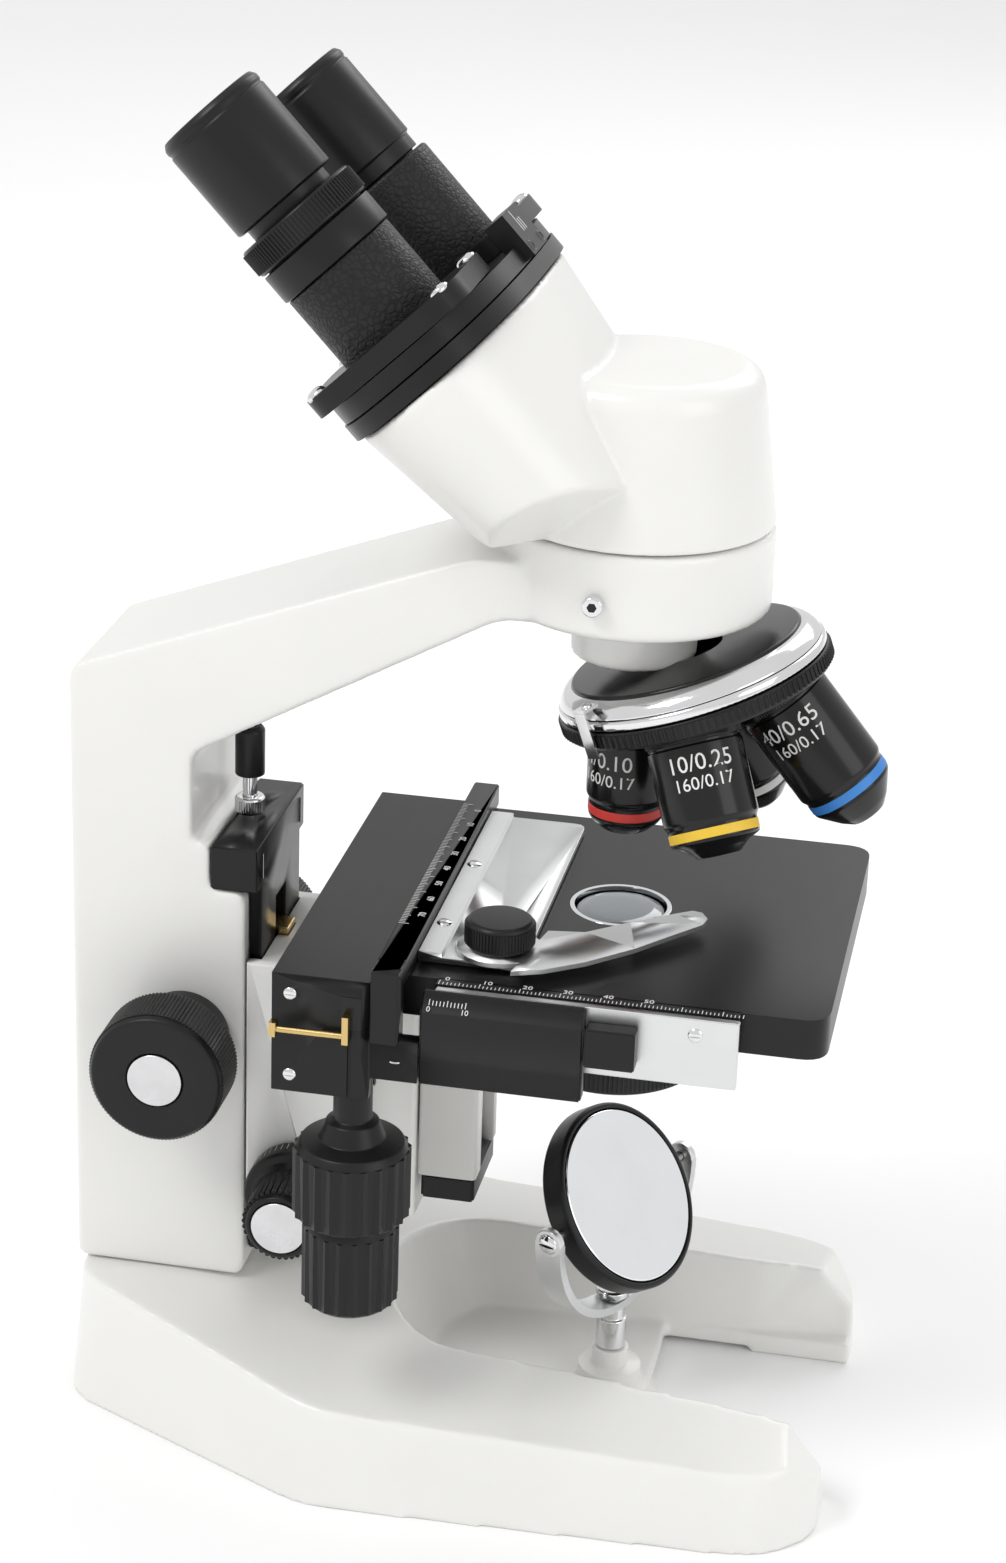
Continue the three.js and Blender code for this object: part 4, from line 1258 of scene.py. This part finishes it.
@dataclass
class TravelStage:
    """Carriage, ruler bar, slide holder and the two coaxial knobs."""

    knobs: Point = (-55.5, -63.0)

    def build_carriage(self) -> None:
        """Gear housing, vernier block and the drive rod."""
        for node, name, bevel in (("x_carriage", "gear_housing", 0.6),
                                  ("vernier_block", "vernier_slider", 0.45),
                                  ("rail_end_block", "slider_end", 0.35)):
            settle(refined(node, name, bevel), "carriage", SATIN_BLACK, node)
        settle(refined("drive_rod", "belt_rod", 0.2), "carriage", BRASS, "drive_rod")
        for i, (x, z, r) in enumerate([(-70.5, 146.0, 1.7), (-70.5, 124.0, 1.7), (-44.5, 129.6, 1.4)]):
            depth = 68.25 if x < -51 else 65.95
            screws(f"housing_screw_{i}", shift(x, -depth, z) @ turn("X", 90), "carriage", r, 0.7)
        facet = shift(0, -64.2, 146.05) @ turn("X", 39.9)
        ticks("x_vernier_marks", 11, 0.9, 1.3, facet @ shift(-36.6, -0.9, 0.1), "carriage", 0.2)
        marks = [("0", facet @ shift(-36.6, -2.0, 0.1)), ("10", facet @ shift(-27.6, -2.0, 0.1))]
        figures("x_vernier_numbers", marks, 2.0, "carriage")
        window = new_piece("housing_window", block(-57.6, -52.6, -68.5, -68.2, 138.2, 146.8, 0.1),
                           Matrix.Identity(4))
        settle(window, "carriage", GLOSS_BLACK)

    def build_holder(self) -> None:
        """Ruler bar, holder plate and sprung finger."""
        settle(refined("ruler_bar", "y_ruler_bar", 0.3), "slide_holder", SATIN_BLACK, "ruler_bar")
        settle(refined("holder_plate", "slide_clip_plate", 0.15), "slide_holder", ALUMINIUM, "holder_plate")
        settle(refined("slide_finger", "spring_finger", 0.15), "finger", ALUMINIUM, "slide_finger")
        for i, y in enumerate((-30.0, 8.0)):
            screws(f"clip_screw_{i}", shift(-40.2, y, 151.7), "slide_holder", 2.1, 0.9)
        ticks("y_scale_marks", 81, 1.0, 1.5, shift(-50.0, -40.0, 155.01) @ turn("Z", 90) @ turn("X", 180),
              "slide_holder", 0.2)
        numbers = [(str(10 * k), shift(-45.2, 36.2 - 10 * k, 155.0) @ turn("Z", 90)) for k in range(8)]
        figures("y_scale_numbers", numbers, 2.6, "slide_holder")
        hub = shift(-24, -41)
        grip = [(1.5, 149.2), (1.5, 152.4), (4, 152.5), (7.9, 152.6), (8.5, 153.4), (8.5, 159.0),
                (7.6, 159.9)]
        turned_piece("finger_thumb_knob", grip, hub, "finger", BLACK_PLASTIC, "finger_knob", ease=0.5)
        ridges("finger_knurl", 8.45, 153.6, 158.6, 64, 0.42, hub, "finger", BLACK_PLASTIC)

    def build_knobs(self) -> None:
        """The stacked travel knobs."""
        axis = shift(*self.knobs)
        upper = [(13.2, 84.4), (14.0, 85.4), (14.2, 103.2), (13.0, 105.4), (8.4, 106.4), (6.6, 111),
                 (4.9, 111.8),
                 (4.9, 143)]
        lower = [(10.4, 60), (11.6, 61.2), (11.8, 82), (11.2, 83.9), (2.8, 84), (2.8, 144)]
        turned_piece("y_travel_grip", upper, axis, "y_knob", BLACK_PLASTIC, "y_drive_knob", bore=3.1)
        turned_piece("x_travel_grip", lower, axis, "x_knob", BLACK_PLASTIC, "x_drive_knob")
        ridges("y_travel_flutes", 13.0, 85.6, 103.4, 22, 1.86, axis, "y_knob", BLACK_PLASTIC)
        ridges("x_travel_flutes", 10.7, 61.4, 81.8, 20, 1.58, axis, "x_knob", BLACK_PLASTIC)

    def build(self) -> None:
        """Builds the whole travel stage."""
        self.build_carriage()
        self.build_holder()
        self.build_knobs()


# ---------------------------------------------------------------- nosepiece


@dataclass
class ObjectiveLens:
    """One objective with its grip, colour band and figures."""

    label: str
    node: str
    phi: float
    radius: float
    shoulder: float
    band: tuple[float, float]
    tip: float
    tip_radius: float
    paint: Paint
    figures: tuple[str, str]

    def build(self) -> None:
        """Builds the objective on its turret seat."""
        place = seat(self.phi)
        r = self.radius
        low, high = self.band
        body = [(7.8, 6.2), (7.8, 11.4), (r - 0.5, 11.6), (r, 12.2), (r, 17), (r - 0.35, 17.2),
                (r - 0.35, 18),
                (r, 18.2), (r, self.shoulder), (r - 0.75, self.shoulder + 1.2), (r - 0.75, high + 0.8),
                (self.tip_radius + 2.6, self.tip - 2.4), (self.tip_radius, self.tip)]
        turned_piece(f"{self.label}_body", body, place, "nosepiece", GLOSS_BLACK, self.node, bore=2.2,
                     ease=0.6)
        turned_piece(f"{self.label}_band", [(r - 0.7, low), (r - 0.62, low + 0.15), (r - 0.62, high - 0.15),
                                            (r - 0.7, high)], place, "nosepiece", self.paint, bore=r - 1.2,
                                            ease=0.1)
        nose = [(self.tip_radius * 0.62, self.tip - 1.0), (self.tip_radius * 0.9, self.tip - 0.6),
                (self.tip_radius * 0.8, self.tip + 0.05)]
        turned_piece(f"{self.label}_nose", nose, place, "nosepiece", CHROME, bore=1.4, ease=0.2, segments=64)
        glass = [(1.5, self.tip - 1.2), (1.4, self.tip - 0.35)]
        turned_piece(f"{self.label}_glass", glass, place, "nosepiece", LENS, ease=0.1, segments=48)
        ridges(f"{self.label}_grip", r - 0.05, 12.4, 16.8, 100, 0.32, place, "nosepiece", GLOSS_BLACK)
        facing = place @ turn("Z", self.reading_angle()) @ turn("X", -90)
        for line, (text, drop, size) in enumerate(zip(self.figures, (22.6, 27.6), (5.8, 4.5))):
            figures(f"{self.label}_figures_{line}", [(text, facing @ shift(0, -drop, 0))], size, "nosepiece",
                    r - 0.02)

    def reading_angle(self) -> float:
        """Turn about the objective that brings the figures to the front."""
        return {180: 205.0, 90: -105.0, 0: 0.0, 270: 0.0}[int(self.phi)]


@dataclass
class Nosepiece:
    """Revolving turret with four objectives."""

    objectives: list[ObjectiveLens] = field(default_factory=lambda: [
        ObjectiveLens("scan_lens", "objective_4x", 180, 10.4, 33.5, (36.0, 38.4), 42.9, 6.2, RED,
                      ("4/0.10", "160/0.17")),
        ObjectiveLens("low_lens", "objective_10x", 90, 11.95, 36.6, (38.6, 41.0), 45.8, 5.4, YELLOW,
                      ("10/0.25", "160/0.17")),
        ObjectiveLens("high_lens", "objective_40x", 0, 11.95, 42.2, (44.2, 46.6), 54.9, 4.6, BLUE,
                      ("40/0.65", "160/0.17")),
        ObjectiveLens("oil_lens", "objective_100x", 270, 11.95, 42.2, (44.2, 46.6), 56.4, 4.2, PALE,
                      ("100/1.25", "160/0.17"))])

    def build(self) -> None:
        """Builds the turret and its objectives."""
        turret = [(11.9, 3.1), (31, 3.1), (31, 5.9), (34.9, 5.9), (35.1, 6.3), (35.1, 9.6), (34.6, 10.6),
                  (33, 10.6),
                  (32.4, 5.2), (16, 10.3), (5.7, 13.6), (5.7, 17.1)]
        turned_piece("turret_body", turret, TURRET, "nosepiece", SATIN_BLACK, "turret", bore=4.15,
                     segments=160)
        ridges("turret_knurl", 34.9, 6.4, 9.6, 120, 0.7, TURRET, "nosepiece", SATIN_BLACK)
        ring = [(34.3, 3.05), (34.8, 3.6), (34.85, 5.2), (34.4, 5.65)]
        turned_piece("turret_chrome_ring", ring, TURRET, "nosepiece", CHROME, "turret_ring", bore=31.3,
                     segments=160)
        for lens in self.objectives:
            collar = [(11.6, 8.4), (11.9, 9), (11.9, 11.2)]
            turned_piece(f"{lens.label}_seat", collar, seat(lens.phi), "nosepiece", SATIN_BLACK, bore=8.2)
            lens.build()


# ---------------------------------------------------------------- head


@dataclass
class Head:
    """Prism housing, sliding tube plates, tubes and eyepieces."""

    tube_y: float = 32.0

    def section(self, half: float, depth: float, power: float) -> list[Point]:
        """Oval section of the housing, in local (n, y)."""
        out = []
        for i in range(96):
            t = math.tau * i / 96
            c, s = math.cos(t), math.sin(t)
            out.append((depth * math.copysign(abs(c) ** (2 / power), c),
                        half * math.copysign(abs(s) ** (2 / power), s)))
        return out

    def build_housing(self) -> None:
        """White prism housing."""
        here = Matrix.Identity(4)

        def flank(side: int) -> tuple[Callable, Matrix]:
            """Slanted cutter under one shoulder."""
            up = Vector((0.48, 0.5 * side, -0.72)).normalized()
            tilt = Vector((0, 1, 0)).rotation_difference(up).to_matrix().to_4x4()
            return block(-90, 90, 0, 60, -80, 80), shift(-15.8, 45 * side, 268.5) @ tilt

        wing = cast("wing",
                    [(prism(self.section(42, 20, 2.2), -125, -51.4, self.section(55, 28.6, 2.2)), HEAD)],
                    [flank(1), flank(-1), (block(-140, 90, -90, 90, 150, 253.9), here),
                     (block(5, 90, -90, 90, 150, 340), here)], 0.85, 2)
        neck = new_piece("neck",
                         lathe([(21.6, 246.4), (21.6, 253.9), (33.4, 253.9), (33.5, 254.5), (29.2, 288),
                                        (28, 291), (25, 293)], 160, 1.2), here)
        with bpy.context.temp_override(active_object=wing, selected_editable_objects=[wing, neck]):
            bpy.ops.object.join()
        skin = wing.modifiers.new("skin", "REMESH")
        skin.mode = "VOXEL"
        skin.voxel_size = 0.75 * MM
        soft = wing.modifiers.new("soft", "SMOOTH")
        soft.factor = 0.5
        soft.iterations = 1
        thin = wing.modifiers.new("thin", "DECIMATE")
        thin.ratio = 0.5
        apply_all(wing)
        wing.name = "head_housing"
        wing.data.shade_smooth()
        settle(wing, "head", ENAMEL, "prism_housing")

    def build_plates(self) -> None:
        """Base plate, cover plate and indicator with its lines and screws."""
        oval = self.section(54.6, 28.6, 2.6)
        base = new_piece("slide_base", prism(oval, -51, -46.6, None, 0.5), HEAD)
        settle(base, "head", SATIN_BLACK, "head_base_plate")
        upper = new_piece("slide_cover",
                          prism([(x * 0.985, y * 0.985) for x, y in oval], -46.2, -41.4, None, 0.5), HEAD)
        settle(upper, "head", SATIN_BLACK)
        strip = new_piece("indicator", block(24.6, 30.4, -8, 8, -46, -33.8, 0.6), HEAD)
        settle(strip, "head", BLACK_PLASTIC, "indicator_block")
        face = HEAD @ shift(30.42, 0, 0) @ turn("Y", 90) @ turn("Z", 90)
        ticks("indicator_lines", 3, 1.7, 3.4, face @ shift(-1.7, 0, 0) @ shift(0, -40.4 + 0.2, 0), "head",
              0.35)
        for i, y in enumerate((-5.4, 5.4)):
            screws(f"indicator_screw_{i}", HEAD @ shift(30.3, y, -43.9) @ turn("Y", 90), "head", 1.6, 0.8)

    def build_tube(self, side: Side) -> None:
        """One tube with its flange.

        Args:
            side: Which eye.
        """
        y = self.tube_y * side.value
        body = f"{side.word}_tube"
        place = HEAD @ shift(0, y)
        outline = eased([(-24, -20 + 1.5 * side.value), (24, -20 + 1.5 * side.value),
                         (24, 20 + 1.5 * side.value),
                         (-24, 20 + 1.5 * side.value)], 11, 8, True)
        flange = drilled_plate(f"{side.word}_flange", outline, -41.1, -36, 11.85, 0.9, place)
        settle(flange, body, SATIN_BLACK)
        if side is Side.RIGHT:
            grain = [(15.05, -36.4), (15.05, -16.2), (14.2, -16)]
            sleeve = [(15.2, -16), (15.75, -15.7), (15.75, -8.2), (14.1, -8.1), (14.1, -0.8)]
            turned_piece("right_sleeve", sleeve, place, body, SATIN_BLACK, bore=11.85)
        else:
            grain = [(15.05, -36.4), (15.05, -9.2), (14.4, -8.6)]
        turned_piece(f"{side.word}_grained_tube", grain, place, body, LEATHER, f"tube_{side.word}",
                     bore=11.86)
        for i, (n, dy) in enumerate([(19.5, -15.5 * 1), (19.5, 15.5), (-19.5, 15.5), (-19.5, -15.5)]):
            screws(f"{side.word}_flange_screw_{i}", place @ shift(n, dy + 1.5 * side.value, -36.05), body,
                   2.7, 1.5)

    def build_eyepieces(self) -> None:
        """Diopter ring and both eyepieces."""
        place = HEAD @ shift(0, -self.tube_y)
        ring = [(15.4, -7.8), (16.0, -7.3), (16.0, -1.0), (15.4, -0.5)]
        turned_piece("dioptre_collar", ring, place, "diopter", SATIN_BLACK, "diopter_ring", bore=14.3)
        ridges("dioptre_knurl", 15.95, -7.0, -1.3, 96, 0.46, place, "diopter", SATIN_BLACK)
        for side, k, neck in ((Side.RIGHT, 2.5, 0.0), (Side.LEFT, -4.2, 3.9)):
            at = HEAD @ shift(0, self.tube_y * side.value)
            body = [(11.6, k - 24), (11.6, k - neck), (13.2, k - neck), (13.2, k), (14, k + 0.4),
                    (14, k + 23.6),
                    (13.7, k + 23.9), (13.7, k + 24.4), (14, k + 24.7), (14, k + 26.0), (13.0, k + 27.4),
                    (9.4, k + 27.5), (8.6, k + 25.6)]
            turned_piece(f"{side.word}_eyepiece_body", body, at, f"{side.word}_eyepiece", SATIN_BLACK,
                         f"eyepiece_{side.word}", bore=8.0)
            dome = [(8.2, k + 23.6), (8.2, k + 24.6), (5, k + 25.4), (2, k + 25.7)]
            turned_piece(f"{side.word}_eye_lens", dome, at, f"{side.word}_eyepiece", LENS, ease=0.8)

    def build(self) -> None:
        """Builds the whole head."""
        self.build_housing()
        self.build_plates()
        for side in Side:
            self.build_tube(side)
        self.build_eyepieces()


# ---------------------------------------------------------------- mirror


@dataclass
class MirrorUnit:
    """Forked yoke with the tilting mirror."""

    inner: float = 29.95
    outer: float = 32.25

    def arc(self, radius: float) -> list[Point]:
        """Lower half circle of the strap about the tilt axis."""
        angles = (math.pi * n / 64 for n in range(65))
        return [(radius * math.cos(a), MIRROR_PIVOT.z - radius * math.sin(a)) for a in angles]

    def build(self) -> None:
        """Builds yoke, post and mirror."""
        strap = [*self.arc(self.outer), *reversed(self.arc(self.inner))]
        bow = new_piece("yoke_bow", prism(strap, -4, 4, None, 0.3), YOKE @ turn("Z", 90) @ turn("X", 90))
        settle(bow, "mirror_yoke", ALUMINIUM, "mirror_fork")
        post = [(2.5, 6.5), (2.5, 17.2), (4.1, 17.4), (4.1, 26), (3.4, 26.3), (3.4, 29.8), (2.9, 29.8),
                (2.9, 33.0),
                (4.6, 33.1), (4.6, 34.8), (3.9, 35.3)]
        turned_piece("yoke_post", post, YOKE, "mirror_yoke", CHROME, "mirror_post", segments=64)
        cell = [(16, -4.6), (22, -4.5), (24.6, -3.6), (25.5, -2.6), (25.5, 3.4), (24.8, 4.1), (23.8, 4.1),
                (23.6, 2.4)]
        turned_piece("mirror_cell", cell, GLASS, "mirror", SATIN_BLACK, "mirror_frame", ease=0.6)
        turned_piece("mirror_disc", [(23.35, 2.3), (23.35, 3.9), (23.0, 4.1)], GLASS, "mirror", SILVERING,
                     "mirror_glass", ease=0.2)
        for side in Side:
            pin = shift(*MIRROR_PIVOT) @ turn("Z", -25.3) @ turn("X", -90 * side.value)
            turned_piece(f"mirror_pin_{side.word}", [(1.45, 24), (1.45, 31.2)], pin, "mirror", STEEL,
                         segments=32,
                         ease=0.1)
            lug = [(3.7, self.inner), (4.0, self.inner + 0.3), (4.0, self.outer - 0.3), (3.7, self.outer)]
            turned_piece(f"yoke_lug_{side.word}", lug, pin, "mirror_yoke", ALUMINIUM, bore=1.6, ease=0.1)
            screws(f"mirror_pin_head_{side.word}", pin @ shift(0, 0, 32.1), "mirror_yoke", 2.9, 1.3)


# ---------------------------------------------------------------- studio


@dataclass
class Studio:
    """Pale floor, soft lights and the camera."""

    azimuth: float = 10.33
    elevation: float = 22.09
    roll: float = 2.01
    distance: float = 0.871
    lens: float = 77.96
    aim: Spot = (-0.0326, 0.0029, 0.178)
    sensor: float = 36
    floor_half: float = 25
    floor_tone: Spot = (0.93, 0.93, 0.93)
    world_level: float = 0.85
    lamps: tuple[tuple[str, Spot, float, float], ...] = (
        ("key", (-1.0, -0.9, 1.7), 0.7, 14),
        ("fill", (1.4, -0.8, 0.8), 1.0, 5),
        ("rim", (0.4, 1.4, 1.3), 1.0, 7))

    def build_camera(self) -> None:
        """Camera at the reference viewing angle."""
        az, el, ro = (math.radians(a) for a in (self.azimuth, self.elevation, self.roll))
        back = Vector((math.sin(az) * math.cos(el), -math.cos(az) * math.cos(el), math.sin(el)))
        right = Vector((math.cos(az), math.sin(az), 0))
        up = back.cross(right)
        across = right * math.cos(ro) + up * math.sin(ro)
        upright = up * math.cos(ro) - right * math.sin(ro)
        data = bpy.data.cameras.new("camera")
        data.lens = self.lens
        data.sensor_width = self.sensor
        data.clip_start = 0.05
        camera = bpy.data.objects.new("camera", data)
        bpy.context.scene.collection.objects.link(camera)
        turned = Matrix((across, upright, back)).transposed().to_4x4()
        camera.matrix_world = Matrix.Translation(Vector(self.aim) + back * self.distance) @ turned
        bpy.context.scene.camera = camera

    def light(self, name: str, spot: Spot, size: float, power: float) -> None:
        """One square soft light aimed at the object.

        Args:
            name: Light name.
            spot: Place in metres.
            size: Edge length.
            power: Watts.
        """
        data = bpy.data.lights.new(name, "AREA")
        data.size = size
        data.energy = power
        lamp = bpy.data.objects.new(name, data)
        bpy.context.scene.collection.objects.link(lamp)
        aim = Vector(self.aim) - Vector(spot)
        lamp.matrix_world = Matrix.Translation(spot) @ aim.to_track_quat("-Z", "Y").to_matrix().to_4x4()

    def build(self) -> None:
        """Builds camera, floor, world and lights."""
        self.build_camera()
        bm = bmesh.new()
        bmesh.ops.create_grid(bm, x_segments=1, y_segments=1, size=self.floor_half)
        mesh = bpy.data.meshes.new("floor")
        bm.to_mesh(mesh)
        bm.free()
        floor = bpy.data.objects.new("floor", mesh)
        bpy.context.scene.collection.objects.link(floor)
        pale = Surface("floor_paper")
        floor.data.materials.append(pale.finish(self.floor_tone, 0.7))
        world = bpy.data.worlds.new("studio")
        world.use_nodes = True
        world.node_tree.nodes["Background"].inputs[0].default_value = (1, 1, 1, 1)
        world.node_tree.nodes["Background"].inputs[1].default_value = self.world_level
        bpy.context.scene.world = world
        for lamp in self.lamps:
            self.light(*lamp)
        bpy.context.scene.view_settings.view_transform = "Standard"


def main() -> None:
    """Builds every sub-assembly around the frame."""
    logging.basicConfig(level=logging.INFO, format="%(name)s: %(message)s")
    for unit in (Studio(), Stand(), FocusDrives(), Stage(), TravelStage(), Nosepiece(), Head(), MirrorUnit()):
        unit.build()
        LOG.info("%s done", type(unit).__name__)
    for side in Side:
        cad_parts[f"pillar_bolt_{side.word}"].data.materials.clear()
        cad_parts[f"pillar_bolt_{side.word}"].data.materials.append(material(STEEL))


if __name__ == "__main__":
    main()
